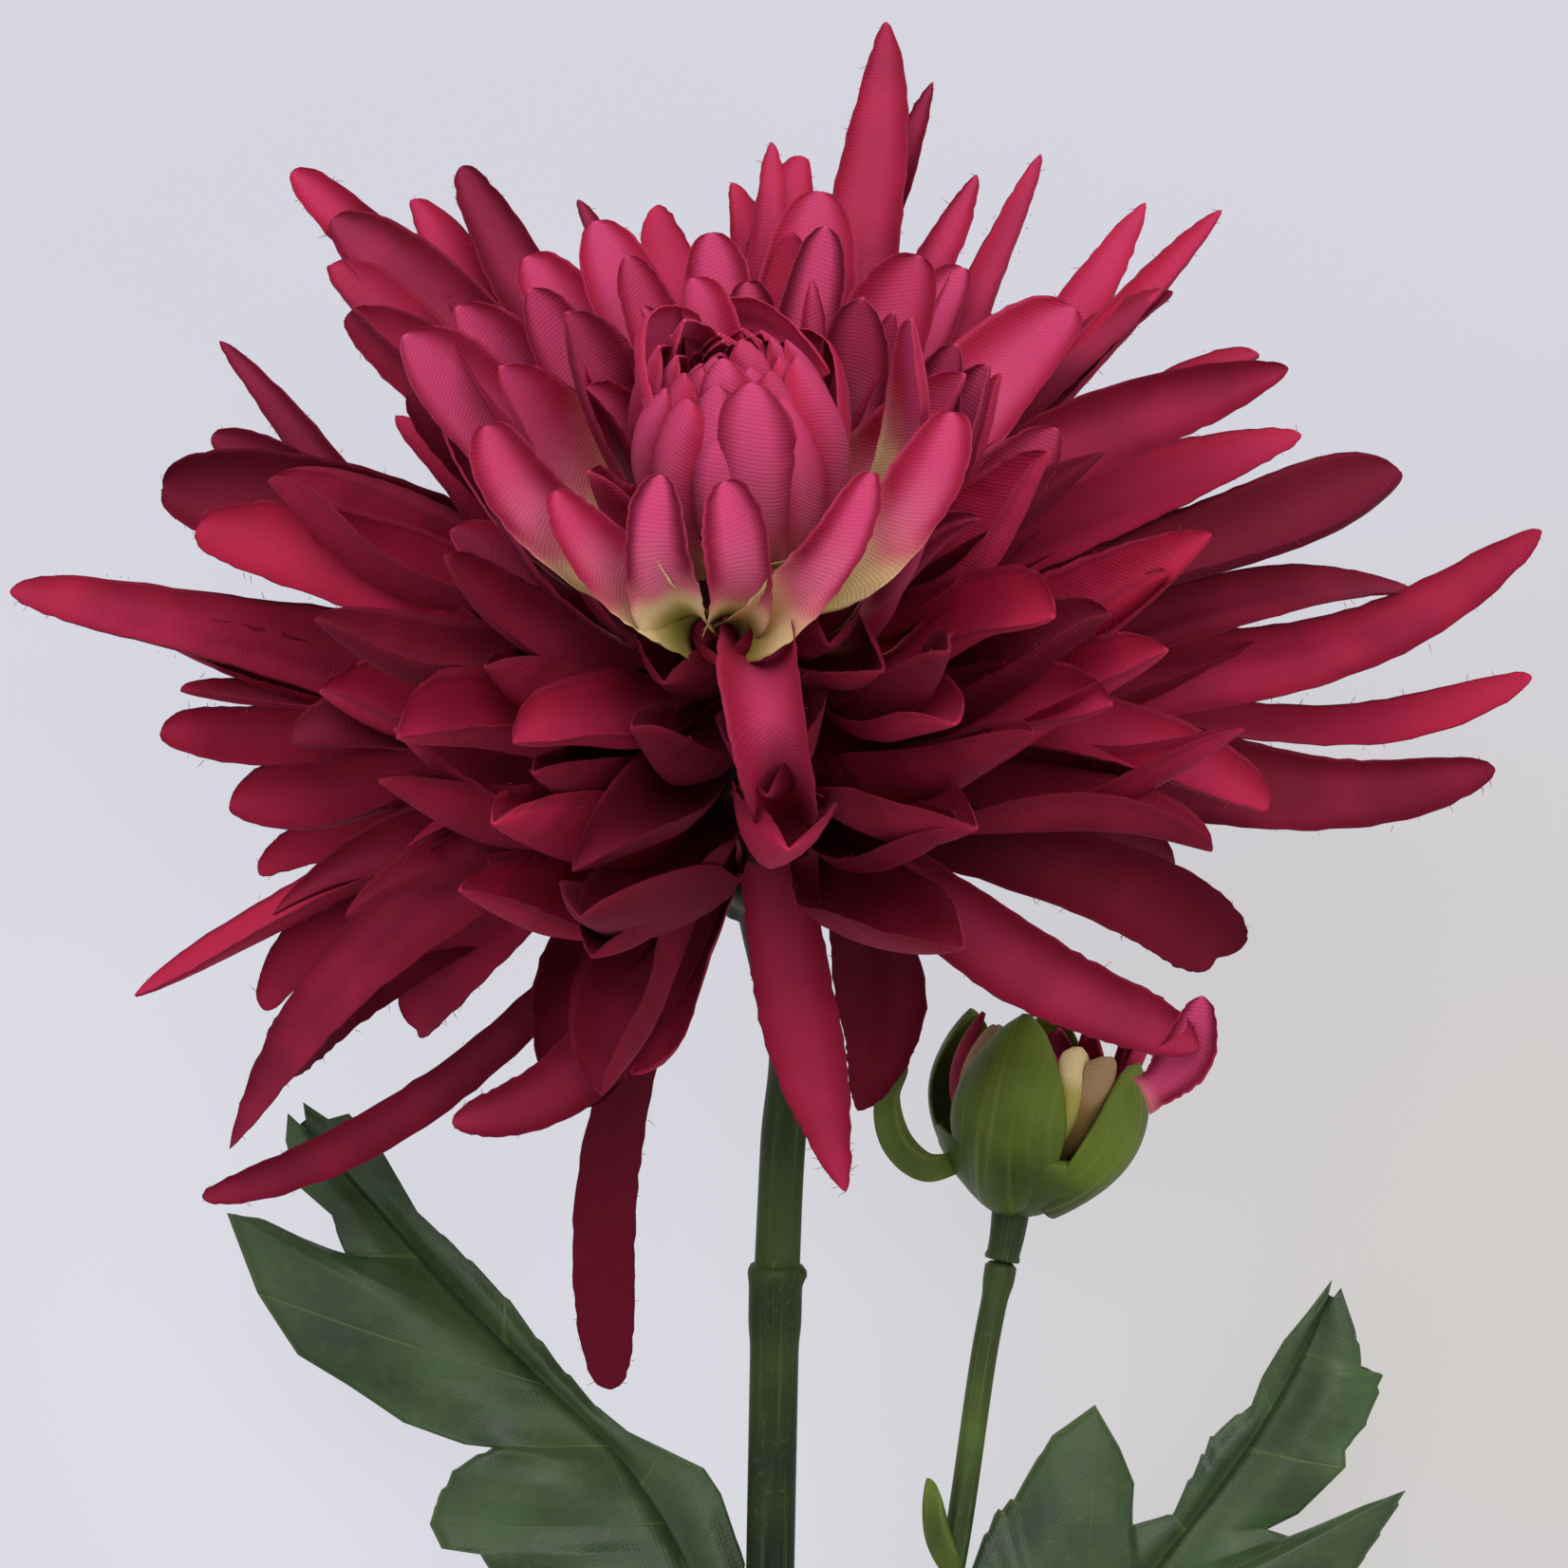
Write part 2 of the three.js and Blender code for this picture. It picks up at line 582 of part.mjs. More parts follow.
// Draws the ends of each short edge together, where that leaves the skin closed and no face
// turned over
function withoutShortEdges(points, index, shortest) {
  const facesOf = points.map(() => new Set());
  const faces = [];
  for (let k = 0; k < index.length; k += 3) {
    const face = index.slice(k, k + 3);
    faces.push(face);
    face.forEach((corner) => facesOf[corner].add(faces.length - 1));
  }
  const neighbours = (corner) => {
    const found = new Set();
    facesOf[corner].forEach((f) => faces[f].forEach((other) => found.add(other)));
    found.delete(corner);
    return found;
  };
  const staysUpright = (kept, moved) => [...facesOf[moved]].every((f) => {
    const face = faces[f];
    if (face.includes(kept)) return true;
    const before = faceNormal(...face.map((corner) => points[corner]));
    const after = faceNormal(...face.map((corner) => points[corner === moved ? kept : corner]));
    if (after.length() < FLAT_FACE) return false;
    if (before.length() < FLAT_FACE) return true;
    return before.dot(after) > LEAST_TURN * before.length() * after.length();
  });
  const mayJoin = (kept, moved) => {
    const around = neighbours(moved);
    const shared = [...neighbours(kept)].filter((corner) => around.has(corner));
    return shared.length === 2 && staysUpright(kept, moved);
  };
  const join = (kept, moved) => {
    for (const f of [...facesOf[moved]]) {
      if (faces[f].includes(kept)) {
        faces[f].forEach((corner) => facesOf[corner].delete(f));
        faces[f] = null;
      } else {
        faces[f] = faces[f].map((corner) => (corner === moved ? kept : corner));
        facesOf[kept].add(f);
      }
    }
    facesOf[moved].clear();
  };
  let joined = 1;
  while (joined > 0) {
    joined = 0;
    for (let f = 0; f < faces.length; f += 1) {
      for (let j = 0; faces[f] && j < 3; j += 1) {
        const [a, b] = [faces[f][j], faces[f][(j + 1) % 3]];
        if (points[a].distanceTo(points[b]) > shortest) continue;
        if (mayJoin(a, b)) {
          join(a, b);
          joined += 1;
        } else if (mayJoin(b, a)) {
          join(b, a);
          joined += 1;
        }
      }
    }
  }
  return faces.filter((face) => face).flat();
}

function blade(shape, steps) {
  const rings = steps.map((t) => pressOnTable(petalSection(shape, t).map(bloomToTable)));
  const tip = bloomToTable(petalFrame(shape, 1).centre);
  tip.z = Math.max(tip.z, 0);
  return loft(rings, tip);
}

function lathed(profile, sides) {
  const points = profile.map(([radius, height]) => new THREE.Vector2(radius, height));
  const geometry = new THREE.LatheGeometry(points, sides);
  geometry.rotateX(Math.PI / 2);
  return geometry;
}

// Turns a geometry made round the bloom's axis into its place over the table
function placeInBloom(geometry) {
  const position = geometry.attributes.position;
  for (let k = 0; k < position.count; k += 1) {
    const point = bloomToTable(new THREE.Vector3().fromBufferAttribute(position, k));
    position.setXYZ(k, point.x, point.y, point.z);
  }
  return geometry;
}

const LONG_STEPS = [0, 0.33, 0.62, 0.87];
const SHORT_STEPS = [0, 0.42, 0.82];

function bloomGeometry() {
  const rings = RINGS.flatMap((ring) => petalRing(ring));
  const parts = [
    ...rings.map((shape) => blade(shape, SHORT_STEPS)),
    ...longPetals().map((shape) => blade(shape, LONG_STEPS)),
    ...hangingPetals().map((shape) => blade(shape, LONG_STEPS)),
    ...restPetals().map((shape) => blade(shape, LONG_STEPS)),
    ...cupPetals().map((shape) => blade(shape, SHORT_STEPS)),
    ...heartPetals().map((shape) => blade(shape, SHORT_STEPS)),
    ...heartWraps().map((shape) => blade(shape, SHORT_STEPS)),
  ];
  const post = placeInBloom(lathed(POST_PROFILE, 12));
  return outerSkin(fuse([solid(post), ...parts.map(solid)]), SHORT_EDGE);
}

// The calyx: a small green cup under the petals, with a hole below for the head's stem
const CALYX_PROFILE = [[0, -1.3], [4.2, -1.3], [5.6, -2.8], [5, -4.8], [3.6, -6.6], [3.3, -8.2], [0, -8.2]];

// Middle lines of the stems: x and y from the calyx as seen from above, and height
const HEAD_STEM_LINE = [
  [0, -3.4, 34.4], [0, -6.6, 32], [1, -11.6, 30.2], [2.7, -18.7, 29.2], [2, -27.2, 28.3], [1.3, -42.5, 26.5],
];
const MAIN_STEM_LINE = [
  [1.4, -37.4, 27.2], [1.3, -42.5, 26.5], [0.9, -64, 23.7], [0.4, -95, 19.4], [1.2, -130, 14.2],
  [2.6, -165, 9], [3.2, -195, 4.6], [3, -214, 1.8],
];
const SIDE_STEM_LINE = [
  [21.1, -38.3, 18], [20.9, -39.6, 18], [19.7, -45.7, 18], [16.8, -64.9, 17.9], [13.4, -80, 17.7],
  [8.6, -95, 17.4], [3.4, -107, 17.2], [0.7, -114, 16.7],
];
const BUD_NECK_LINE = [[22.1, -33.4, 18], [21.6, -36, 18], [21.1, -38.3, 18], [20.6, -41.2, 18]];
const BRACT_LINE = [[16.9, -65.6, 18.6], [15.4, -62, 19.8], [14.7, -57, 20.4]];

// Rings of points round a middle line, each turned square to it
function tubeRings(line, radiusAt, sides, steps) {
  const curve = new THREE.CatmullRomCurve3(line.map((point) => vec(...point)), false, 'centripetal');
  const frames = curve.computeFrenetFrames(steps, false);
  return Array.from({ length: steps + 1 }, (_, i) => {
    const centre = curve.getPointAt(i / steps);
    return Array.from({ length: sides }, (__, j) => {
      const angle = (2 * Math.PI * j) / sides;
      const out = frames.normals[i].clone().multiplyScalar(Math.cos(angle));
      out.addScaledVector(frames.binormals[i], Math.sin(angle));
      return centre.clone().addScaledVector(out, radiusAt(i / steps));
    });
  });
}

function tube(line, radiusAt, sides, steps) {
  return loft(tubeRings(line, radiusAt, sides, steps));
}

// A stem's lowest side is flattened where it would dip through the table
function layOnTable(geometry) {
  const position = geometry.attributes.position;
  for (let k = 0; k < position.count; k += 1) position.setZ(k, Math.max(position.getZ(k), 0));
  return geometry;
}

function calyxGeometry() {
  const cup = solid(placeInBloom(lathed(CALYX_PROFILE, 14)));
  const hole = solid(tube(HEAD_STEM_LINE, () => HEAD_STEM_RADIUS + GAP, 12, 14));
  return outerSkin(cup.subtract(hole));
}

// The head's stem, thinner where its end stands in the main stem's socket
function headRadius(t) {
  return HEAD_STEM_RADIUS - (t > PEG_START ? PEG_STEP : 0);
}

function headStemGeometry() {
  return tube(HEAD_STEM_LINE, headRadius, 12, 14);
}

// A thin leafy blade that narrows to a point, along a middle line
function narrowBlade(line, width, thickness, face, steps) {
  const curve = new THREE.CatmullRomCurve3(line.map((point) => vec(...point)), false, 'centripetal');
  const rings = [];
  for (let i = 0; i < steps; i += 1) {
    const t = i / steps;
    const half = (width / 2) * Math.sqrt(Math.sin(Math.PI * (0.12 + 0.88 * t)));
    const centre = curve.getPointAt(t);
    const along = curve.getTangentAt(t);
    const side = face.clone().cross(along).normalize();
    const up = along.clone().cross(side);
    rings.push([
      centre.clone().addScaledVector(side, -half),
      centre.clone().addScaledVector(up, -thickness / 2),
      centre.clone().addScaledVector(side, half),
      centre.clone().addScaledVector(up, thickness / 2),
    ]);
  }
  return loft(rings, curve.getPointAt(1));
}

// The main stem with its collar and socket for the head's stem, and the side stem with its own
function stemGeometry() {
  const mainRadius = (t) => MAIN_STEM_RADIUS + (t < 0.04 ? COLLAR_SWELL : 0);
  const sideRadius = (t) => SIDE_STEM_RADIUS + (t < 0.03 ? SIDE_COLLAR_SWELL : 0);
  const main = layOnTable(tube(MAIN_STEM_LINE, mainRadius, 10, 30));
  const side = tube(SIDE_STEM_LINE, sideRadius, 6, 24);
  const bract = narrowBlade(BRACT_LINE, 2.4, SEPAL_THICKNESS, vec(0.4, 0, 1), 4);
  const headSocket = tube(HEAD_STEM_LINE, (t) => headRadius(t) + GAP, 12, 14);
  const budSocket = tube(BUD_NECK_LINE, (t) => NECK_RADIUS + GAP + (t > 0.6 ? 0 : 0.2), 8, 6);
  const branched = fuse([main, side, bract].map(solid));
  return outerSkin(branched.subtract(solid(headSocket)).subtract(solid(budSocket)));
}

// The bud's own frame has Z along its axis, and azimuth 270 faces up from the table
const BUD_CUP_PROFILE = [
  [0, -1.2], [1.5, -1.2], [4.2, 0.2], [7.2, 2.6], [8.8, 5.2], [7.9, 5.4], [6.4, 3.4], [3.4, 1.5], [0, 1.1],
];

// The sepals that stand up round the bud. Each row: azimuth, width, height, tip radius.
const SEPALS = [
  [243, 10.4, 17.5, 6.5],
  [318, 9.6, 14.6, 9],
  [12, 9, 14.5, 8.4],
  [72, 9, 16, 7.6],
  [128, 9, 15, 8.2],
];
const BENT_SEPAL_LINE = [
  [-5.6, -1, 2.9], [-8.6, -1.4, 2.2], [-11.6, -1.6, 4.2], [-13, -1.6, 8], [-11.8, -1.4, 10.8],
];

const BUD_POST_PROFILE = [[0, 1.5], [3.2, 1.9], [5.6, 3.8], [6, 8], [4.8, 12], [2, 13.4], [0, 13]];

// The bud's petals. Each row: azimuth, tip radius, tip height, width.
const BUD_ROOT_RADIUS = 4.6;
const BUD_PETALS = [
  [200, 5, 15.5, 5.2],
  [232, 4, 16.5, 5],
  [262, 5.4, 15, 5.6],
  [284, 6.4, 13.2, 4.2],
  [300, 5, 15.6, 4.6],
  [340, 9.6, 20.4, 4.4],
  [356, 7.4, 18.6, 4.6],
  [25, 5, 16, 5.2],
  [60, 4.4, 15, 5.4],
  [100, 5, 15.6, 5.2],
  [135, 4.6, 14.6, 5.4],
  [168, 5.4, 16, 5],
];

function budAxis() {
  return direction(90 - BUD_LEAN, BUD_RISE);
}

function placeInBud(geometry) {
  const turn = new THREE.Quaternion().setFromUnitVectors(vec(0, 0, 1), budAxis());
  return geometry.applyQuaternion(turn).translate(...BUD_BASE);
}

// A blade that bulges over the bud from a root to a tip, cupped towards the axis
function budBlade(azimuth, rootRadius, bulge, tipRadius, rootHeight, tipHeight, width, thickness) {
  const middle = rootHeight + (tipHeight - rootHeight) * 0.45;
  const from = polar(azimuth, rootRadius, rootHeight);
  const control = polar(azimuth, bulge, middle);
  const tip = polar(azimuth, tipRadius, tipHeight);
  const side = direction(azimuth + 90, 0);
  const shape = { from, control, tip, side, roll: 0, cup: 0.5, bend: 0 };
  const rings = [0, 0.3, 0.6, 0.85].map((t) => {
    const { centre, face } = petalFrame(shape, t);
    const half = (width / 2) * Math.sqrt(Math.sin(Math.PI * (0.14 + 0.86 * t)));
    const edge = centre.clone().addScaledVector(face, shape.cup * half);
    return [
      edge.clone().addScaledVector(side, -half),
      centre.clone().addScaledVector(face, -thickness / 2),
      edge.clone().addScaledVector(side, half),
      centre.clone().addScaledVector(face, thickness / 2),
    ];
  });
  return loft(rings, tip);
}

function budCalyxGeometry() {
  const sepals = SEPALS.map(([azimuth, width, height, tipRadius]) => (
    budBlade(azimuth, 5.8, 13.4, tipRadius, 1, height, width, SEPAL_THICKNESS)));
  const bent = narrowBlade(BENT_SEPAL_LINE, 3, SEPAL_THICKNESS, vec(0, -1, 0), 6);
  const cup = lathed(BUD_CUP_PROFILE, 16);
  const placed = [cup, ...sepals, bent].map((geometry) => solid(placeInBud(geometry)));
  const neck = tube(BUD_NECK_LINE, (t) => (t > 0.6 ? NECK_RADIUS : 1.5 - 0.6 * t), 8, 6);
  return outerSkin(fuse([...placed, solid(neck)]));
}

function budPetalsGeometry() {
  const blades = BUD_PETALS.map(([azimuth, tipRadius, tipHeight, width]) => (
    budBlade(azimuth, BUD_ROOT_RADIUS, 9.4, tipRadius, 4.5, tipHeight, width, PETAL_THICKNESS)));
  const post = lathed(BUD_POST_PROFILE, 12);
  return outerSkin(fuse([post, ...blades].map((geometry) => solid(placeInBud(geometry)))));
}

// The leaves. The rib's rows: x and y from the calyx as seen from above, and height. The
// outlines' rows run from the leaf stalk to its tip: x, y, and how far along the rib (0 to 1)
// the point's own vein leaves it.
const LEFT_LEAF = {
  rib: [
    [-2.9, -75.6, 21.6], [-6.7, -64.5, 18.8], [-12.5, -55.5, 16.5], [-19.5, -48.8, 15],
    [-26, -42.5, 14], [-32.5, -35.5, 13], [-40.6, -26.5, 12],
  ],
  left: [
    [-6.8, -71, 0.09], [-10, -68.2, 0.11], [-14.1, -66.7, 0.13], [-17.4, -66.1, 0.15],
    [-20.9, -65.7, 0.17], [-23.6, -64.9, 0.19], [-24.4, -63.6, 0.21], [-27.8, -63.2, 0.23],
    [-28.9, -61.2, 0.25], [-28.2, -58.9, 0.27], [-26.6, -56.2, 0.3], [-23.4, -54.5, 0.35],
    [-26, -54.3, 0.38], [-31.3, -52.5, 0.41], [-36.3, -49.2, 0.45], [-40.6, -46.6, 0.49],
    [-44.2, -41.2, 0.5], [-47, -34.3, 0.54], [-43.8, -34.8, 0.59], [-40.6, -36.3, 0.65],
    [-36.6, -38, 0.75], [-37.8, -34.5, 0.84], [-40.9, -31.9, 0.89], [-42, -28, 0.94], [-41.8, -25.6, 0.98],
  ],
  right: [
    [-2, -68.6, 0.1], [-1.3, -64.5, 0.14], [-3.4, -58.5, 0.2], [-4.9, -56.3, 0.25], [-8.5, -54.6, 0.31],
    [-11.6, -53.2, 0.36], [-14.5, -51, 0.42], [-18, -47.2, 0.49], [-22.6, -41.3, 0.58], [-27, -37, 0.67],
    [-30.2, -34.2, 0.74], [-33.4, -28.9, 0.84], [-36.4, -25.6, 0.91], [-38.2, -26.1, 0.95],
    [-40.4, -24.6, 0.985],
  ],
};
const RIGHT_LEAF = {
  rib: [
    [13, -89, 17], [18, -85, 15.4], [24.5, -79.5, 14], [30.5, -72, 12.8], [35.8, -65, 12],
    [42, -57, 11.6], [47, -49, 11.4], [50.4, -41.8, 11.5],
  ],
  left: [
    [15.8, -84.9, 0.09], [15.2, -79.8, 0.15], [14.2, -75, 0.19], [16.6, -71.5, 0.22], [18.3, -66, 0.25],
    [20.6, -60.9, 0.28], [22.3, -59.4, 0.3], [25.7, -53.9, 0.32], [29.5, -51.2, 0.35],
    [31.7, -55, 0.39], [33, -58.2, 0.43], [32.8, -62, 0.5], [36.4, -61, 0.6], [38.7, -56.5, 0.66],
    [40, -54, 0.7], [43.5, -51.5, 0.76], [44.4, -49, 0.81], [46.3, -45.7, 0.88], [48.4, -43.2, 0.94],
    [50.6, -40.4, 0.98],
  ],
  right: [
    [19.8, -85.6, 0.15], [23.5, -87.3, 0.18], [28.5, -86.4, 0.2], [33.5, -87.5, 0.22], [36, -83, 0.25],
    [39.5, -80.5, 0.28], [38, -76.5, 0.31], [42, -75, 0.34], [47.5, -70.5, 0.36], [52.8, -65.7, 0.38],
    [54.9, -62.5, 0.4], [57, -58.9, 0.42], [53.2, -60.2, 0.45], [46.8, -63, 0.52], [44.8, -62.4, 0.6],
    [47.5, -61, 0.68], [51.7, -56.8, 0.75], [51.7, -55.4, 0.79], [53.8, -52.9, 0.83],
    [55.1, -48.8, 0.88], [53.3, -48, 0.91], [52.6, -44.8, 0.95], [51.4, -41.1, 0.98],
  ],
};
const LEAF_ROWS = [0, 0.5, 1];
const LEAF_CROWN = 1.1;
const CROWNED_REACH = 10;

// One half of a leaf: a waved sheet between the rib and the outline, alike on both faces, that
// crowns up between the two
function leafHalf(rib, outline, seed) {
  const grid = outline.map(([x, y, along], k) => {
    const root = rib.getPoint(along);
    const edge = vec(x, y, root.z);
    const across = edge.clone().sub(root).normalize();
    root.addScaledVector(across, LEAF_SLIT);
    const breadth = Math.min(1, edge.distanceTo(root) / CROWNED_REACH);
    const crown = LEAF_CROWN * breadth * (1 + 0.5 * Math.sin(0.8 * k + seed));
    return LEAF_ROWS.map((part) => {
      const point = root.clone().lerp(edge, part);
      const reach = point.distanceTo(root);
      point.z += 0.16 * reach - 0.006 * reach * reach + part * 0.5 * Math.sin(1.3 * k + seed);
      point.z += crown * Math.sin(Math.PI * part);
      return point;
    });
  });
  return sheet(grid, LEAF_THICKNESS);
}

// A closed sheet of even thickness over a grid of points
function sheet(grid, thickness) {
  const rows = grid[0].length;
  const half = vec(0, 0, thickness / 2);
  const top = grid.flat().map((point) => point.clone().add(half));
  const bottom = grid.flat().map((point) => point.clone().sub(half));
  const faces = [];
  const quad = (a, b, c, d) => faces.push(a, b, c, a, c, d);
  const count = top.length;
  for (let i = 0; i + 1 < grid.length; i += 1) {
    for (let j = 0; j + 1 < rows; j += 1) {
      const a = i * rows + j;
      quad(a, a + 1, a + rows + 1, a + rows);
      faces.push(count + a, count + a + rows + 1, count + a + 1);
      faces.push(count + a, count + a + rows, count + a + rows + 1);
    }
  }
  const rim = [];
  for (let i = 0; i < grid.length; i += 1) rim.push(i * rows);
  for (let j = 1; j < rows; j += 1) rim.push((grid.length - 1) * rows + j);
  for (let i = grid.length - 2; i >= 0; i -= 1) rim.push(i * rows + rows - 1);
  for (let j = rows - 2; j > 0; j -= 1) rim.push(j);
  rim.forEach((a, k) => {
    const b = rim[(k + 1) % rim.length];
    quad(a, b, count + b, count + a);
  });
  return closedGeometry([...top, ...bottom], faces);
}

function leafGeometry(leaf, seed) {
  const rib = new THREE.CatmullRomCurve3(leaf.rib.map((point) => vec(...point)), false, 'centripetal');
  const stalk = tube(leaf.rib, (t) => 1.05 - 0.5 * Math.min(1, 2.2 * t), 6, 12);
  const halves = [leafHalf(rib, leaf.left, seed), leafHalf(rib, leaf.right, seed + 2)];
  return outerSkin(fuse([stalk, ...halves].map(solid)));
}

const flower = new THREE.Group();
flower.position.set(...ORIGIN_SHIFT);

function addPart(name, geometry, material) {
  const mesh = new THREE.Mesh(geometry, material);
  mesh.name = name;
  flower.add(mesh);
  return mesh;
}

addPart('bloom', bloomGeometry(), materials.petals);
addPart('calyx', calyxGeometry(), materials.plastic);
addPart('head_stem', headStemGeometry(), materials.plastic);
addPart('stem', stemGeometry(), materials.plastic);
addPart('bud_calyx', budCalyxGeometry(), materials.sepals);
addPart('bud_petals', budPetalsGeometry(), materials.petals);
addPart('leaf_left', leafGeometry(LEFT_LEAF, 0), materials.leaves);
addPart('leaf_right', leafGeometry(RIGHT_LEAF, 4), materials.leaves);

export default flower;
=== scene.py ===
# %% [markdown]
# # A fabric chrysanthemum on a moulded stem
#
# The flower is an artificial one. Its petals are stamped from ribbed cloth, its stem, calyx and
# bud cup are moulded in green plastic, and its leaves are printed cloth. It lies on a table, and
# the camera looks straight down on it. The packed solids give every piece its place, and this
# lesson puts a finer piece over each of them.

# %% Load the packed solids
import math

import bpy
import numpy as np
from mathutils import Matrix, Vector


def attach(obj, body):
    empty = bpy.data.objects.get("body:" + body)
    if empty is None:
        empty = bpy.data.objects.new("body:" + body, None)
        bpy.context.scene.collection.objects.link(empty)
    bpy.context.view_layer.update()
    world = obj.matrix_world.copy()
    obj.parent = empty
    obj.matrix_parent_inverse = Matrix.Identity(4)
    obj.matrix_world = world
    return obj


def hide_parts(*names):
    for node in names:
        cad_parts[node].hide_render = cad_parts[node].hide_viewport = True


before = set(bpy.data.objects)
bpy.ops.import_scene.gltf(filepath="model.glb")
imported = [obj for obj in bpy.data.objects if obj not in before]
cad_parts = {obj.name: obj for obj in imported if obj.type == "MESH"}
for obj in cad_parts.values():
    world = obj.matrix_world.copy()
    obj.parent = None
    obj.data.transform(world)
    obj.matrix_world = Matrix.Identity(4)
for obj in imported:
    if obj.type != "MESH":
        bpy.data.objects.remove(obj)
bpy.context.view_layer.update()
print("solids", sorted(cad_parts))

# %% [markdown]
# ## Sizes and directions
#
# All shapes are worked out in millimetres and turned into metres at the very end. The bloom has
# a frame of its own: its Z is the bloom's axis, which leans 37 degrees up from the table, and
# azimuth 90 is its far side. One function takes a point of that frame to the table. The stems
# and leaves are measured from the spot of the table that lies under the calyx.

# %% Name the sizes that the whole flower shares
MM = 0.001
AXIS_TILT = math.radians(37)
TILT_SIN, TILT_COS = math.sin(AXIS_TILT), math.cos(AXIS_TILT)
CALYX = np.array([-1.4, 72.74, 37.0])
SEEN_FROM = np.array([0, -TILT_COS, TILT_SIN])


def direction(azimuth, elevation):
    a, e = math.radians(azimuth), math.radians(elevation)
    return np.array([math.cos(a) * math.cos(e), math.sin(a) * math.cos(e), math.sin(e)])


def at(azimuth, radius, height):
    """A point round an axis."""
    return direction(azimuth, 0) * radius + (0, 0, height)


def bloom_to_table(points):
    x, y, z = points[..., 0], points[..., 1], points[..., 2]
    return np.stack([x, TILT_SIN * y + TILT_COS * z, -TILT_COS * y + TILT_SIN * z], -1) + CALYX


def table_to_bloom(x, y, height):
    """The bloom's own numbers for a point given by x and y from the calyx, and its height."""
    drop = height - CALYX[2]
    return np.array([x, TILT_SIN * y - TILT_COS * drop, TILT_COS * y + TILT_SIN * drop])


def seen(across, up, rise):
    """The point that shows there from above and stands this high along the bloom's axis."""
    return np.array([across, (up - TILT_COS * rise) / TILT_SIN, rise])


def beside_calyx(points):
    return points + CALYX * (1, 1, 0)


print("the calyx stands at", CALYX, "mm")

# %% [markdown]
# ## Draws that repeat
#
# No two petals of a bloom are alike, but the script has to give the same bloom on each run. A
# sine with large factors makes a value for each number that looks random and never changes.

# %% Make repeatable draws


def draw(number):
    value = math.sin(number * 12.9898 + 78.233) * 43758.5453
    return value - math.floor(value)


def spread(number):
    return 2 * draw(number) - 1


print("first draws", [round(draw(n), 3) for n in range(4)])

# %% [markdown]
# ## The rule for one petal
#
# A petal is cut flat and then pressed, so it has one middle line and the same cut all along.
# Three points are enough for the middle line: where it leaves the post, where it heads for, and
# its tip. Width, cup, roll, wave and bend are numbers beside them. The petals of the real bloom
# were spread by hand towards the side it is seen from, so one more number turns their faces that
# way. A sculpted petal would look as good, but two hundred of them could not be kept in step
# with the solids. A tone says how rubbed, how undyed and how withered a petal is.

# %% Describe a petal
FLAT_CUT = dict(roll=0.0, cup=0.4, wave=0.0, phase=0.0, bend=0.0, blunt=6.0, waist=0.32)
# The paler a tone, the less painted shade a petal gets at its root, and the more undyed, the more
# painted highlight lies in its hollow
HEART_TONE = (0.85, 0.35, 0.0)
CUP_TONE = (0.92, 0.4, 0.0)
OUTER_TONE = (0.1, 0.0, 0.0)
# A petal starts this far out from its root in the post, along x, y and z of its first direction
ROOT_REACH = (3, 3, 0.9)
# The share of its length where a petal has its full width, and the bluntness of a round end
FULL_AT = 0.6
ROUND_END = 5


def unit(vectors):
    return vectors / np.linalg.norm(vectors, axis=-1, keepdims=True)


def faced_side(azimuth, chord, facing):
    """The way a petal's side lies, turned so that the petal faces the viewer more."""
    share = facing * (1 + math.sin(math.radians(azimuth)))
    return unit(direction(azimuth + 90, 0) + share * np.cross(SEEN_FROM, unit(chord)))


def nearness(tip):
    """0 on the far half of the bloom, 1 straight towards the viewer."""
    return max(0, -tip[1] / math.hypot(tip[0], tip[1]))


def petal(root, tip, launch, swing, facing, **cut):
    """A petal that leaves the post at a height and in a direction, and ends at its tip."""
    foot = np.array([0.0, 0.0, root])
    chord = tip - foot
    azimuth = math.degrees(math.atan2(chord[1], chord[0])) + swing
    out = direction(azimuth, launch)
    start = foot + out * ROOT_REACH
    reach = np.linalg.norm(tip - start)
    return FLAT_CUT | dict(start=start, control=start + out * reach / 2, tip=tip,
                           side=faced_side(azimuth, chord, facing)) | cut


def led_petal(start, middle, tip, **cut):
    """A petal whose middle line is led through a given point."""
    return FLAT_CUT | dict(start=start, control=2 * middle - (start + tip) / 2, tip=tip,
                           side=unit(np.cross(SEEN_FROM, tip - start))) | cut


def half_width(shape, t):
    s = np.minimum(t / FULL_AT, 1)
    body = shape["waist"] + (1 - shape["waist"]) * s * s * (3 - 2 * s)
    power = 0.5 + 0.12 * max(0, ROUND_END - shape["blunt"])
    return shape["width"] / 2 * body * (1 - t ** shape["blunt"]) ** power


print("a petal is described by", sorted(FLAT_CUT))

# %% [markdown]
# ## From the rule to a surface
#
# The middle line is a quadratic curve. At each step along it the script finds how it runs, which
# way its side lies and which way its face looks, and lets the roll grow towards the tip.

# %% Follow a petal's middle line


def turned(vectors, axes, angles):
    """Each vector turned about its own axis."""
    c, s = np.cos(angles)[:, None], np.sin(angles)[:, None]
    return vectors * c + np.cross(axes, vectors) * s


def middle_line(shape, t):
    start, control, tip, bend = shape["start"], shape["control"], shape["tip"], shape["bend"]
    u = t[:, None]
    turn = 2 * math.pi * t
    centre = (1 - u) ** 2 * start + 2 * u * (1 - u) * control + u * u * tip
    centre[:, 2] += bend * t * np.sin(turn)
    along = 2 * (1 - u) * (control - start) + 2 * u * (tip - control)
    along[:, 2] += bend * (np.sin(turn) + turn * np.cos(turn))
    along = unit(along)
    side = shape["side"] - along * (along @ shape["side"])[:, None]
    side = turned(unit(side), along, np.radians(shape["roll"] * t))
    return centre, side, np.cross(along, side)


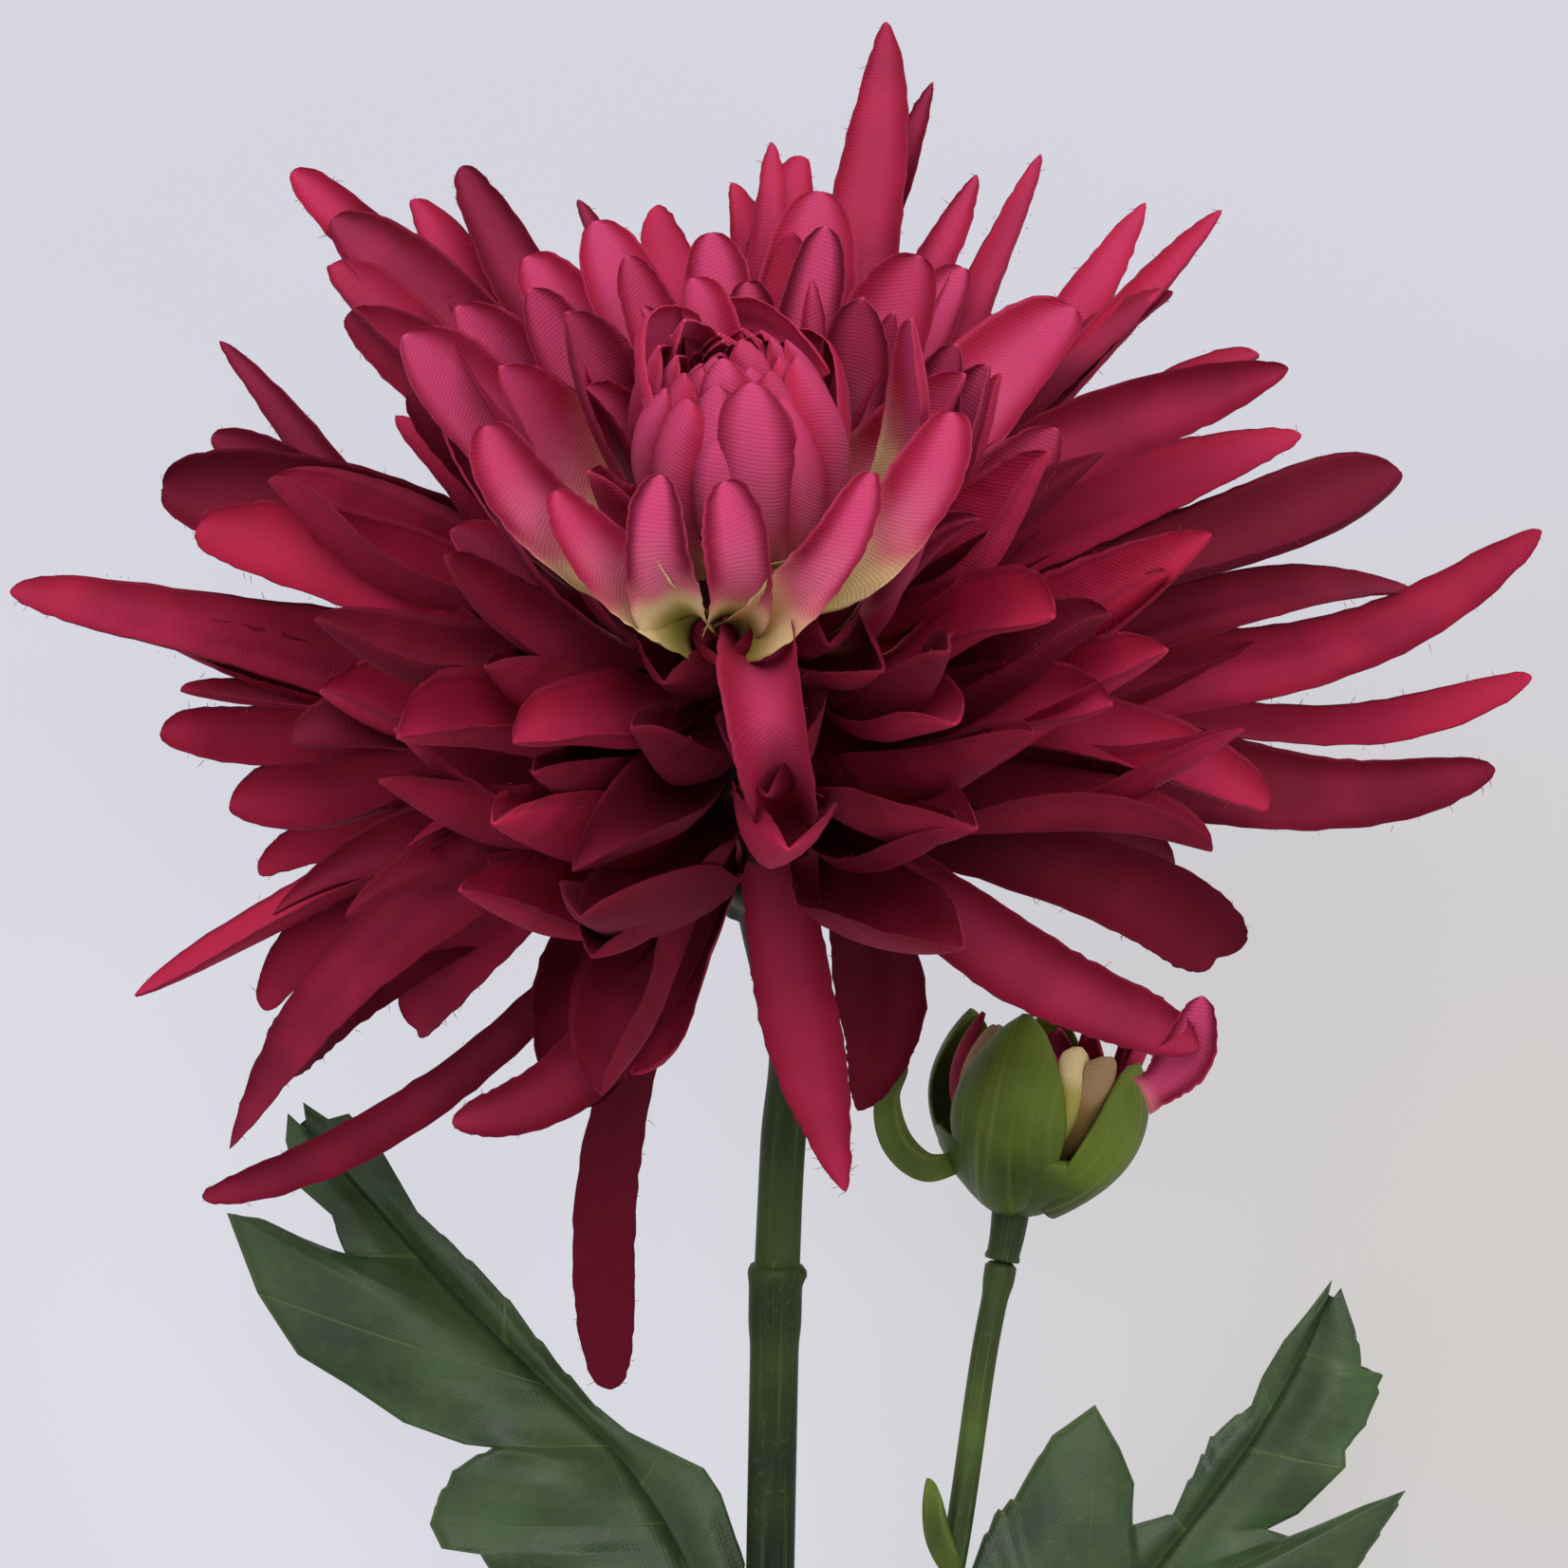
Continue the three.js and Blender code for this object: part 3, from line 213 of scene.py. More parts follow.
sample = petal(20, direction(90, 30) * 40, 10, 0, 0)
print("halfway along a sample petal", middle_line(sample, np.array([0.5]))[0].round(1))

# %% [markdown]
# ## Cloth with two faces and a cut edge
#
# Real cloth has a thickness, and a bare sheet would show no edge from the side. Each petal gets
# a grid of points for its upper face and one for its lower face, a third of a millimetre apart
# and closer at the rim, with a narrow band round the edge between them. The cut edge is uneven,
# because such petals are stamped and not hemmed.

# %% Roughen the edge and fold the cloth
ACROSS = np.array([-1, -0.93, -0.75, -0.5, -0.25, 0, 0.25, 0.5, 0.75, 0.93, 1])
EDGE_WOBBLE = 0.1
EDGE_WAVER = 0.07
FOLD_HEIGHT = 0.035


def edge_wobble(half, t, seed):
    """A ragged cut, and a slow waver of the outline."""
    wander = np.array([spread(seed + 3.1 * k) for k in range(len(t))])
    waver = EDGE_WAVER * half * np.sin(9 * t + 6 * draw(seed + 0.7))
    return EDGE_WOBBLE * wander * np.minimum(1, half) + waver


def folds(shape, t, seed):
    """The soft lengthwise folds that pressing and handling leave in a petal."""
    height = FOLD_HEIGHT * shape["width"] * (0.3 + 1.4 * draw(seed + 0.3))
    around = 3 * ACROSS * (1 + draw(seed + 0.1)) + (6 * draw(seed + 0.2) + 2 * t)[:, None]
    return height * np.sin(around) * np.sin(math.pi * np.minimum(1, 1.1 * t))[:, None]


print("points across a petal", len(ACROSS))

# %% Lay a grid of cloth over a petal
RIM_CURL = 0.7
# The last row stops just short of the tip, where the width would be nothing, and the rows lie
# closer there than at the root
PETAL_END = 0.9995
CLOSER_AT_TIP = 1.35


def measured(line):
    """How far along the line each of its points lies."""
    return np.concatenate([[0], np.cumsum(np.linalg.norm(np.diff(line, axis=0), axis=1))])


def each_row(numbers):
    """One number for each row, repeated for the points across it."""
    return np.repeat(numbers[:, None], len(ACROSS), 1)


def laid_out(centre, side, face, width, lift):
    """Points this far to the side of the middle line, and this high over it."""
    return centre[:, None] + side[:, None] * width[..., None] + face[:, None] * lift[..., None]


def blade_notes(width, length, t):
    """Where each point lies on the cloth in millimetres, and where on the petal."""
    place = np.stack([np.tile(ACROSS, (len(t), 1)), each_row(t)], -1)
    return np.stack([width, each_row(length)], -1), place


def petal_grid(shape, rows, seed):
    t = PETAL_END * (1 - (1 - np.linspace(0, 1, rows)) ** CLOSER_AT_TIP)
    centre, side, face = middle_line(shape, t)
    half = half_width(shape, t)
    width = half[:, None] * ACROSS
    left, right = edge_wobble(half, t, seed), edge_wobble(half, t, seed + 0.5)
    width += np.where(ACROSS < 0, -left[:, None] * ACROSS ** 2, right[:, None] * ACROSS ** 2)
    lift = shape["cup"] * half[:, None] * (ACROSS ** 2 + RIM_CURL * ACROSS ** 6)
    lift = lift + folds(shape, t, seed)
    lift = lift + (shape["wave"] * half * np.sin(7 * t + shape["phase"]))[:, None] * ACROSS
    points = laid_out(centre, side, face, width, lift)
    return points, face, *blade_notes(width, measured(centre), t)


print("points of a sample grid", petal_grid(dict(sample, width=12), 28, 0)[0].shape)

# %% [markdown]
# ## Many petals in one mesh
#
# A ring of petals is one object here, because two hundred objects would be slow to build and
# to hand on. The faces of all grids have the same pattern: an upper face, a lower face and a
# band round the edge. Each point also keeps up to three small sets of numbers for the finish:
# where it lies on the cloth in millimetres, where it lies on the petal, and its petal's tone.

# %% Make one object of points and faces


def make_piece(name, points, faces, notes, material, slot, *nodes):
    """An object of points in millimetres, each with its notes, over the solids of some nodes."""
    mesh = bpy.data.meshes.new(name)
    mesh.from_pydata((points * MM).tolist(), [], faces)
    for note, numbers in notes.items():
        layer = mesh.attributes.new(note, "FLOAT_VECTOR", "POINT")
        layer.data.foreach_set("vector", numbers.astype(np.float32).ravel())
    mesh.validate()
    mesh.materials.append(material)
    mesh.polygons.foreach_set("use_smooth", [True] * len(mesh.polygons))
    piece = bpy.data.objects.new(name, mesh)
    bpy.context.scene.collection.objects.link(piece)
    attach(piece, "root")
    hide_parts(*nodes)
    print(name, "faces", len(mesh.polygons))


# %% Collect grids into one object


def grid_faces(rows, columns):
    """The faces of two grids, one under the other, and of the band between their rims."""
    grid = np.arange(rows * columns).reshape(rows, columns)
    below = rows * columns
    a, b, c, d = grid[:-1, :-1], grid[:-1, 1:], grid[1:, 1:], grid[1:, :-1]
    upper = np.stack([a, b, c, d], -1).reshape(-1, 4)
    lower = np.stack([a, d, c, b], -1).reshape(-1, 4) + below
    rim = np.concatenate([grid[0, :-1], grid[:-1, -1], grid[-1, :0:-1], grid[:0:-1, 0]])
    after = np.roll(rim, -1)
    band = np.stack([rim, rim + below, after + below, after], -1)
    return np.concatenate([upper, lower, band])


class Patchwork:
    """Grids of cloth that become one object. A note in a pair differs above and below."""

    def __init__(self):
        self.points, self.faces, self.notes, self.count = [], [], {}, 0

    def add(self, upper, lower, **notes):
        rows, columns = upper.shape[:2]
        self.points += [upper.reshape(-1, 3), lower.reshape(-1, 3)]
        self.faces.append(grid_faces(rows, columns) + self.count)
        self.count += 2 * rows * columns
        for name, note in notes.items():
            faces = note if isinstance(note, tuple) else (note, note)
            self.notes.setdefault(name, []).extend(grid.reshape(-1, 3) for grid in faces)

    def make(self, name, material, slot, *nodes):
        notes = {note: np.concatenate(grids) for note, grids in self.notes.items()}
        make_piece(name, np.concatenate(self.points), np.concatenate(self.faces).tolist(),
                   notes, material, slot, *nodes)


def with_third(pairs, number):
    """Notes of two numbers, with the same third one at every point."""
    return np.concatenate([pairs, np.full(pairs.shape[:2] + (1,), float(number))], -1)


print("faces of a small grid", len(grid_faces(3, 3)))

# %% [markdown]
# ## Materials written as sums
#
# A finish is easier to read as a formula than as a chain of boxes. The class below wraps a
# socket of a node, so that plus, minus and times between two of them add the Math nodes, and
# one method adds any other node. Colours never pass through a Math node, which would turn them
# grey: they are mixed by a factor. The second class is a material with one shader, and its short
# methods are the few kinds of node that the finishes of this flower need.

# %% Wrap the sockets of a material


class Sum:
    """A socket that can stand in a formula."""

    def __init__(self, finish, socket):
        self.finish, self.socket = finish, socket

    def __add__(self, other):
        return self.finish.maths("ADD", self, other)

    def __sub__(self, other):
        return self.finish.maths("SUBTRACT", self, other)

    def __rsub__(self, other):
        return self.finish.maths("SUBTRACT", other, self)

    def __mul__(self, other):
        return self.finish.maths("MULTIPLY", self, other)

    __radd__ = __add__
    __rmul__ = __mul__


OPERATORS = [name for name in vars(Sum) if name.endswith(("add__", "sub__", "mul__"))]
print("a formula can hold", OPERATORS)

# %% Name the nodes that a finish is made of


class Finish:
    """A material with one shader, whose varying sockets are formulas."""

    def __init__(self, name, constants):
        self.material = bpy.data.materials.new(name)
        self.material.use_nodes = True
        self.tree = self.material.node_tree
        self.shader = self.tree.nodes["Principled BSDF"]
        for socket, value in constants.items():
            self.shader.inputs[socket].default_value = value

    def node(self, kind, settings, inputs, output=0):
        made = self.tree.nodes.new(kind)
        for name, value in settings.items():
            setattr(made, name, value)
        for name, value in inputs.items():
            self.feed(made.inputs[name], value)
        return Sum(self, made.outputs[output])

    def feed(self, socket, value):
        if isinstance(value, Sum):
            self.tree.links.new(value.socket, socket)
        else:
            socket.default_value = value

    def maths(self, operation, a, b=0.0):
        return self.node("ShaderNodeMath", {"operation": operation}, {0: a, 1: b})

    def mix(self, factor, a, b):
        mixed = {"data_type": "RGBA", "clamp_factor": True}
        return self.node("ShaderNodeMix", mixed, {0: factor, 6: a, 7: b}, output=2)

    def ramp(self, value, low, high):
        smooth = {"interpolation_type": "SMOOTHSTEP", "clamp": True}
        return self.node("ShaderNodeMapRange", smooth, {0: value, 1: low, 2: high})

    def noise(self, vector, scale, detail=2.0):
        settings = {"noise_dimensions": "3D"}
        inputs = {"Vector": vector, "Scale": scale, "Detail": detail}
        return self.node("ShaderNodeTexNoise", settings, inputs)

    def note(self, name):
        """The three numbers that the mesh keeps at each point under this name."""
        vector = self.node("ShaderNodeAttribute", {"attribute_name": name}, {}, output=1)
        return vector, *self.parts(vector)

    def parts(self, vector):
        """The x, y and z of a vector."""
        return [self.node("ShaderNodeSeparateXYZ", {}, {0: vector}, output=k) for k in range(3)]

    def apart(self, a, b):
        distance = {"operation": "DISTANCE"}
        return self.node("ShaderNodeVectorMath", distance, {0: a, 1: b}, output=1)

    def position(self):
        return self.node("ShaderNodeTexCoord", {}, {}, output=3)

    def waves(self, place, spacing):
        """A wave that repeats at this spacing, in millimetres on the cloth."""
        return self.maths("SINE", place * (2 * math.pi / spacing))

    def relief(self, height, depth, strength):
        bump = {"Height": height, "Distance": depth, "Strength": strength}
        self.use("Normal", self.node("ShaderNodeBump", {}, bump))

    def use(self, socket, value):
        self.feed(self.shader.inputs[socket], value)


print("kinds of node by name", [name for name in vars(Finish) if not name.startswith("_")])

# %% Turn a paint chart's colours into the shader's


def dye(red, green, blue):
    """A colour as a paint chart gives it, 0 to 255, in the shader's own linear values."""
    shares = (red / 255, green / 255, blue / 255)
    linear = [v / 12.92 if v <= 0.04045 else ((v + 0.055) / 1.055) ** 2.4 for v in shares]
    return *linear, 1.0


print("crimson is", [round(v, 3) for v in dye(155, 30, 65)])

# %% [markdown]
# ## Ribbed crimson cloth
#
# The petals are cut from a cloth with fine slanting ribs, about three to the millimetre. Dyed
# crimson, it turns pink where the pile has rubbed off in the pressing, shows a thin cut edge, and
# has stayed cream at the roots of the petals round the heart, which the dye never reached. A
# painted shade darkens each petal towards its root, where the petals shade one another, and a
# painted highlight lightens the hollows of the petals whose roots stayed cream. The notes kept at
# each point drive all of this, so the ribs follow each petal as it bends. Each layer of colour is
# mixed over the one before it by a mask.

# %% Dye and weave the petals
RIB_SPACING = 0.36
THREAD_SPACING = 0.24
# The last of these is a painted shade, laid on each petal towards its root
DARK_CRIMSON, CRIMSON, SHADED_ROOT_RED = dye(98, 9, 32), dye(178, 33, 67), dye(50, 2, 18)
# The second of these is a painted highlight, laid in the hollows of petals with undyed roots
RUBBED_PINK, HOLLOW_HIGHLIGHT = dye(198, 66, 112), dye(226, 132, 158)
DARK_EDGE, PINK_EDGE, RIB_SHADE = dye(92, 8, 28), dye(184, 56, 92), dye(70, 4, 26)
FADED_PINK, UNDYED_CREAM = dye(218, 120, 130), dye(238, 214, 158)
GREENISH_ROOT, WITHERED_BROWN = dye(184, 176, 88), dye(120, 74, 48)


def petal_cloth():
    finish = Finish("petal_cloth", {
        "Specular IOR Level": 0.12, "Sheen Weight": 0.1, "Sheen Roughness": 0.4,
        "Sheen Tint": dye(255, 104, 156)})
    cloth, across, along, chance = finish.note("cloth")
    _, side, t, _ = finish.note("place")
    _, pale, cream, dry = finish.note("tone")
    rim = finish.maths("ABSOLUTE", side)
    patches = finish.noise(cloth, 0.16)
    flecks = finish.noise(cloth, 3.0)

    slant = across * (chance * 1.1 - 0.2) + along
    wander = finish.noise(cloth, 0.5) * 0.6
    ribs = finish.maths("SINE", slant * (2 * math.pi / RIB_SPACING) + wander)
    threads = finish.waves(across - along * 0.3, THREAD_SPACING)

    lightness = finish.ramp(patches * 0.5 + chance * 0.8, 0.25, 1.0)
    dyed = finish.mix(lightness, DARK_CRIMSON, CRIMSON)
    # Painted shade: each petal darkens towards its root, where the petals shade one another, least
    # on the palest
    depth = finish.ramp(0.7 - t, 0.0, 0.6) * (0.42 - pale * 0.6)
    deep = finish.mix(depth, dyed, SHADED_ROOT_RED)
    rubbed = finish.ramp(1 - rim, 0.05, 0.75) * pale
    pink = finish.mix(rubbed, deep, RUBBED_PINK)
    # Painted highlight: the middle of each petal's hollow is lightened to a whitish pink, the more
    # so the more undyed its root
    hollow_highlight = finish.ramp(1 - rim, 0.1, 0.9) * finish.ramp(0.85 - t, 0.0, 0.45) * cream * 1.3
    worn = finish.mix(hollow_highlight, pink, HOLLOW_HIGHLIGHT)
    cut_edge = finish.ramp(rim, 0.86, 0.98) * 0.6
    edged = finish.mix(cut_edge, worn, finish.mix(pale, DARK_EDGE, PINK_EDGE))
    reach = cream * (0.85 + 0.3 * patches + 0.35 * rim * rim)
    faded = finish.mix(finish.ramp(reach - t, -0.16, 0.06), edged, FADED_PINK)
    rooted = finish.mix(finish.ramp(reach - t, -0.02, 0.14), faded, UNDYED_CREAM)
    sappy = finish.mix(finish.ramp(cream * 0.6 - t, -0.04, 0.14), rooted, GREENISH_ROOT)
    withered = finish.mix(dry, sappy, WITHERED_BROWN)
    grain = finish.ramp(ribs * 0.5 + threads * 0.22 + flecks, -0.6, 1.5)
    finish.use("Base Color", finish.mix(grain * 0.2, withered, RIB_SHADE))
    finish.use("Roughness", 0.66 + 0.16 * flecks)
    finish.relief(ribs * 0.6 + threads * 0.3 + flecks * 0.4, 0.00003, 0.5)
    return finish.material


PETAL_CLOTH = petal_cloth()
print("ribs to the centimetre", round(10 / RIB_SPACING))

# %% [markdown]
# ## The outer rings
#
# Under the long petals the bloom is filled by rings of shorter ones. Petals of the near side are
# shorter and those of the far side stand up more, so each ring is a tilted, slightly squashed
# circle. Each petal sets out below the straight way to its tip, so that the tip turns up. The
# rings leave out the tips that would show beside the stem, where the real bloom has gaps or
# its long petals hang down.

# %% Draw the rings of petals
RINGS = [
    dict(count=13, turn=12, root=3, length=40, rise=-24, lean=10, front=0.62, scoop=2, seed=11),
    dict(count=13, turn=0, root=6, length=43, rise=-12, lean=10, front=0.7, scoop=4, seed=211),
    dict(count=13, turn=14, root=9, length=42, rise=2, lean=12, front=0.72, scoop=14, seed=411),
    dict(count=12, turn=4, root=13, length=38, rise=15, lean=14, front=0.75, scoop=14, seed=611),
    dict(count=10, turn=18, root=17, length=34, rise=27, lean=14, front=0.75, scoop=14, seed=811),
]
# Left, right, low and high sides of the places that stay clear, seen from above
CLEAR_PLACES = [(-31, -21, -24, -4.6), (-7.6, 8, -26, -1.6), (15.6, 37.4, -22.6, -4.6)]
RING_WIDTH = 7.8
RING_FACING = 0.5
# How much lower than the others the petals towards the viewer set out, in degrees
NEAR_DROOP = 18


def in_clear_place(tip):
    x, y = tip[0], TILT_SIN * tip[1] + TILT_COS * tip[2]
    return any(left < x < right and low < y < high for left, right, low, high in CLEAR_PLACES)


def petal_ring(count, turn, root, length, rise, lean, front, scoop, seed):
    made = []
    for k in range(count):
        n = seed + 7 * k
        azimuth = turn + (k + 0.3 * spread(n)) * 360 / count
        far = math.sin(math.radians(azimuth))
        elevation = rise + lean * far + 7 * spread(n + 1)
        reach = length * (1 + 0.1 * spread(n + 2)) * (1 - (1 - front) * max(0, -far))
        tip = direction(azimuth, elevation) * reach + (0, 0, root)
        if in_clear_place(tip):
            continue
        near = nearness(tip)
        launch = elevation - scoop - NEAR_DROOP * near + 16 * spread(n + 3)
        made.append(petal(
            root, tip, launch, 14 * spread(n + 4), RING_FACING,
            width=RING_WIDTH * (1 + 0.15 * spread(n + 5)),
            cup=0.5 + 0.3 * spread(n + 6) + 0.3 * near,
            roll=40 * spread(n + 4.5), blunt=5 + 3 * spread(n + 5.5), wave=0.25,
            phase=6 * draw(n + 6.5), bend=3 * spread(n + 3.5)))
    return made


ring_petals = [shape for ring in RINGS for shape in petal_ring(**ring)]
print("petals in the rings", len(ring_petals))

# %% Sew petals into one object
CLOTH_THICKNESS = 0.3
# Nothing of the bloom lies lower over the table than this
TABLE_GAP = 0.02
# The share of a petal's cream that shows through on its under side
CREAM_BELOW = 0.7


def sewn_petals(name, shapes, rows, tone, seed):
    """One object of many petals, each with its own draw of colour."""
    patchwork = Patchwork()
    for k, shape in enumerate(shapes):
        points, face, cloth, place = petal_grid(shape, rows, seed + 41 * k)
        chance = shape.get("chance", draw(seed + k + 0.25))
        pale, cream, dry = shape.get("tone", tone)
        pale = pale * (1 + 0.35 * spread(seed + k + 0.75))
        offset = face[:, None] * (CLOTH_THICKNESS * (1 - 0.6 * ACROSS ** 6)[:, None] / 2)
        upper, lower = bloom_to_table(points + offset), bloom_to_table(points - offset)
        upper[..., 2] = np.maximum(upper[..., 2], CLOTH_THICKNESS)
        lower[..., 2] = np.maximum(lower[..., 2], TABLE_GAP)
        tones = [np.broadcast_to((pale, share * cream, dry), points.shape)
                 for share in (1, CREAM_BELOW)]
        patchwork.add(upper, lower, cloth=with_third(cloth, chance), place=with_third(place, k),
                      tone=tuple(tones))
    patchwork.make(name, PETAL_CLOTH, "petal_fabric", "bloom")


sewn_petals("bloom_ring_petals", ring_petals, 28, OUTER_TONE, 3000)

# %% [markdown]
# ## The long loose petals
#
# These give the bloom its outline, so each is placed one by one. A row says where the tip shows
# from above, how high it stands along the bloom's axis, and how the petal sets out and ends. The
# rule does the rest. The solids were made by nearly the same rows.

# %% List the long petals
# Each row: across, up, rise, root height, launch, swing, width, bluntness, bend
LONG_PETALS = [
    # Over the heart, at the far side
    (10.8, 68.8, 50, 18, 30, -6, 6.6, 4, 0), (14.8, 63.6, 46, 17, 30, 8, 4.4, 3.5, 0),
    (1, 58, 44, 20, 45, 0, 4.2, 4, 0), (3.6, 57, 42, 20, 40, 8, 5.2, 6, 0),
    (-2.4, 54.8, 40, 19, 40, -8, 4.5, 4, 0), (-8.8, 52.5, 40, 20, 45, 0, 4.6, 7, 0),
    (-15.6, 53.5, 38, 17, 35, 0, 4.2, 4, 0), (-12.8, 51, 40, 21, 50, 8, 3.2, 6, 0),
    (-25.4, 56, 42, 15, 30, 0, 5.2, 8, 0), (-29.8, 53.5, 38, 13, 28, 5, 5, 6, 0),
    (-40, 56, 40, 12, 25, -8, 5.4, 8, 0), (-36.4, 51.6, 38, 14, 30, -8, 7, 7, 0),
    (-36.4, 47.5, 36, 15, 30, 8, 6.2, 7, 0), (-34.8, 43, 34, 17, 35, 0, 6.6, 6, 0),
    # To the left
    (-47, 42, 24, 9, -20, 12, 4.8, 4, -4), (-47.2, 33.5, 20, 7, 15, 0, 5.6, 7, 0),
    (-50.8, 28.8, 20, 11, 20, -6, 8.6, 9, 0), (-64, 20, 12, 6, 5, 0, 8.2, 4.5, 0),
    (-53.6, 17.2, 10, 5, 0, 6, 6.2, 4, 0), (-47, 25, 22, 12, 20, 5, 7.4, 8, 0),
    (-49, 11.5, 8, 7, 15, -4, 7, 8, 3), (-51.2, 8, 2, 5, 12, 6, 6.4, 8, 3),
    (-45.2, 1.6, -2, 3, 10, 0, 7, 8, 3), (-43.2, -4, -10, 2, 5, 0, 4.6, 7, 0),
    # Down to the left
    (-53.4, -14.6, -16, 3, 5, 6, 8.4, 3, 2), (-42.4, -15.6, -16, 5, 15, -6, 6.4, 7, 0),
    # Down to the right
    (42.8, 1.6, 2, 8, 25, -8, 6.4, 6, 0), (62.8, 4.8, 0, 3, -8, 8, 7.8, 5, 4),
    (66.4, 12.8, 4, 5, -6, 10, 4.6, 8, 5), (56.4, 20, 10, 9, 15, -8, 5, 5, -2),
    (66.8, 25.2, 16, 6, 0, -6, 7, 4.5, 4), (54.4, 30, 22, 10, 15, -6, 8.6, 9, 2),
    (46, 33.2, 24, 12, 20, 6, 5.8, 6, 0), (44.4, 38.4, 32, 14, 35, 10, 7, 4, 0),
    (43.2, 40.8, 24, 10, 15, 10, 6.8, 8, 0), (40, 53.2, 34, 14, 30, -14, 4.4, 3.5, 0),
    (35.2, 45.6, 32, 15, 35, 0, 5.6, 6, 0), (33.2, 53.6, 36, 12, 30, -10, 5.6, 3.5, 0),
    (24, 57.2, 42, 15, 35, -10, 6.2, 3.5, 0), (18.4, 55.2, 42, 18, 40, 0, 4, 4, 0),
]
print("long petals", len(LONG_PETALS))

# %% List the scoops
# The petals over the middle curl up at their ends like scoops. Each row has the same numbers.
SCOOP_PETALS = [
    (-7.5, 11.6, 26, 21, 0, 0, 8, 7, 0), (10, 12.6, 27, 21, 0, 8, 8, 7, 0),
    (-2.6, 13.4, 28, 24, 0, 0, 7, 6, 0), (5.6, 14.6, 29, 24, 5, 0, 7, 6, 0),
    (2.4, -1.6, 20, 10, 0, -6, 7, 7, 0), (-10, 8, 25, 16, -5, 12, 6.6, 6, 3),
    (-17.8, 4.4, 22, 12, -10, -10, 7, 4, 0), (-30.7, 3.8, 15, 9, -15, 12, 6.8, 4, 2),
    (-21, 0.4, 18, 8, -20, -8, 8.4, 5, 0), (-14, -7, 14, 5, -25, 0, 8.6, 8, 0),
    (-24, -5, 10, 5, -20, 4, 7.4, 6, 2), (15, 14, 31, 15, 10, 10, 7.4, 5, 0),
    (21.8, 7.6, 24, 12, -15, -10, 7.4, 4, 0), (28.4, 17.2, 27, 14, 0, -8, 6.4, 5, -2),
    (33.2, 14.4, 23, 12, -10, -10, 7, 6, -2), (39.7, 8, 15, 9, -12, -4, 7.4, 4, 2),
    (16, 0, 16, 7, -15, 6, 7, 5, 0), (16.4, -9.6, 8, 4, -25, 8, 8, 7, 0),
    (37.2, 24, 27, 16, 0, -10, 7.8, 4, -2), (23.6, 30.4, 36, 19, 25, -16, 6.6, 5, 0),
    (-40.8, 28.8, 27, 16, 20, 8, 7, 8, 2), (-40, 24.8, 21, 14, 15, 8, 7.2, 8, 0),
    (-36.4, 11.2, 14, 12, 15, 4, 7.4, 8, 2), (-29.6, 8, 17, 12, 0, 8, 7.4, 5, 3),
    (-22, 13, 24, 15, -5, 10, 7.6, 6, 2),
]
print("scoops", len(SCOOP_PETALS))

# %% List the hanging petals
# These are led through a middle point. Each row: x and y from the calyx and height over the
# table of the middle, the same of the tip, how far from the axis and how high it starts, width,
# bluntness, cup, roll, waist
HANGING_PETALS = [
    # To the left of the stem
    ((-18, -3.5, 46), (-29, -17.3, 34), 3, 6, 7.6, 8, 0.4, 12, 0.5),
    ((-25.9, -5, 46), (-45.8, -28, 24), 3, 5, 8.6, 2.6, 0.3, 0, 0.5),
    ((-26, -21.6, 30), (-48.2, -32.2, 24), 3, 4, 3.8, 9, 0.3, 10, 0.7),
    ((-12.1, -10.3, 40), (-14.9, -23.7, 40), 3, 4, 10.5, 5, 0.4, 0, 0.5),
    ((-11.4, -17.3, 44), (-25.5, -24.6, 44), 3, 6, 6, 5, 0.4, 20, 0.5),
    ((-12.2, -26, 30), (-13, -49.2, 20), 5, 3, 5.2, 14, 0.1, -6, 0.7),
    # To the right of it
    ((2.9, -13.5, 40), (7.3, -30.9, 36), 5, 4, 7.2, 3.4, 0.35, 0, 0.9),
    ((10.2, -13.8, 32), (8.4, -24.5, 28), 7, 2, 8.4, 3, 0.3, 0, 0.6),
    ((19.6, -10.4, 44), (36.3, -18.4, 47), 3, 6.6, 6.8, 7, 0.4, -20, 0.6),
    ((28.8, -4.1, 44), (38.3, -11, 40), 3, 3, 7.6, 7, 0.4, 25, 0.6),
    # In front of the heart
    ((1.3, 9.2, 71), (2.8, 1.5, 61), 3, 22, 6.4, 6, 0.9, 14, 0.8),
    # A frayed one behind, to the left
    ((-28, -10, 40), (-41.2, -20.6, 26), 3, 4, 5.4, 12, 0.3, 0, 0.5),
]
# The colour chance of each hanging petal, where 0 is the darkest, and how rubbed it is. The sixth
# lies in the bloom's shadow, so its colour is a painted shadow: darkest, and rubbed below nothing,
# which deepens the painted shade at its root
HANGING_SHADES = [(0.5, 0.1), (0.4, 0.1), (0.2, 0.1), (0.2, 0), (0.3, 0.1), (0, -0.3), (0.6, 0.2),
                  (0.1, 0), (0.35, 0.15), (0.1, 0), (0.6, 0.5), (0.3, 0.1)]
print("hanging petals", len(HANGING_PETALS))

# %% [markdown]
# A row becomes a petal by a short function of its kind. Three more petals are not seen from above:
# the bloom rests on them. They set out flat, dip towards the table and lie on it with their ends.

# %% Make the long petals, and those that the bloom rests on
# Each row: x and y of the tip from the calyx, root height, width
REST_PETALS = [(-23, 23, 5, 8.4), (22, 25, 5, 8.4), (1, 28, 4, 8.4)]
# How far below the table's top their tips aim, so that the ends lie flat on it
REST_DIP = 4.0
# How much lower a scoop sets out, in degrees, and how much more it is cupped
SCOOP_DROP, SCOOP_CUP = 25, 0.45
# The number of the first scoop, clear of those of the other long petals
FIRST_SCOOP = 80
LONG_WIDENING = 1.1
# The petals that show above PALE_FROM are rubbed paler, most so from PALE_SPAN higher up
PALE_FROM, PALE_SPAN, PALE_MOST = 30, 25, 0.25


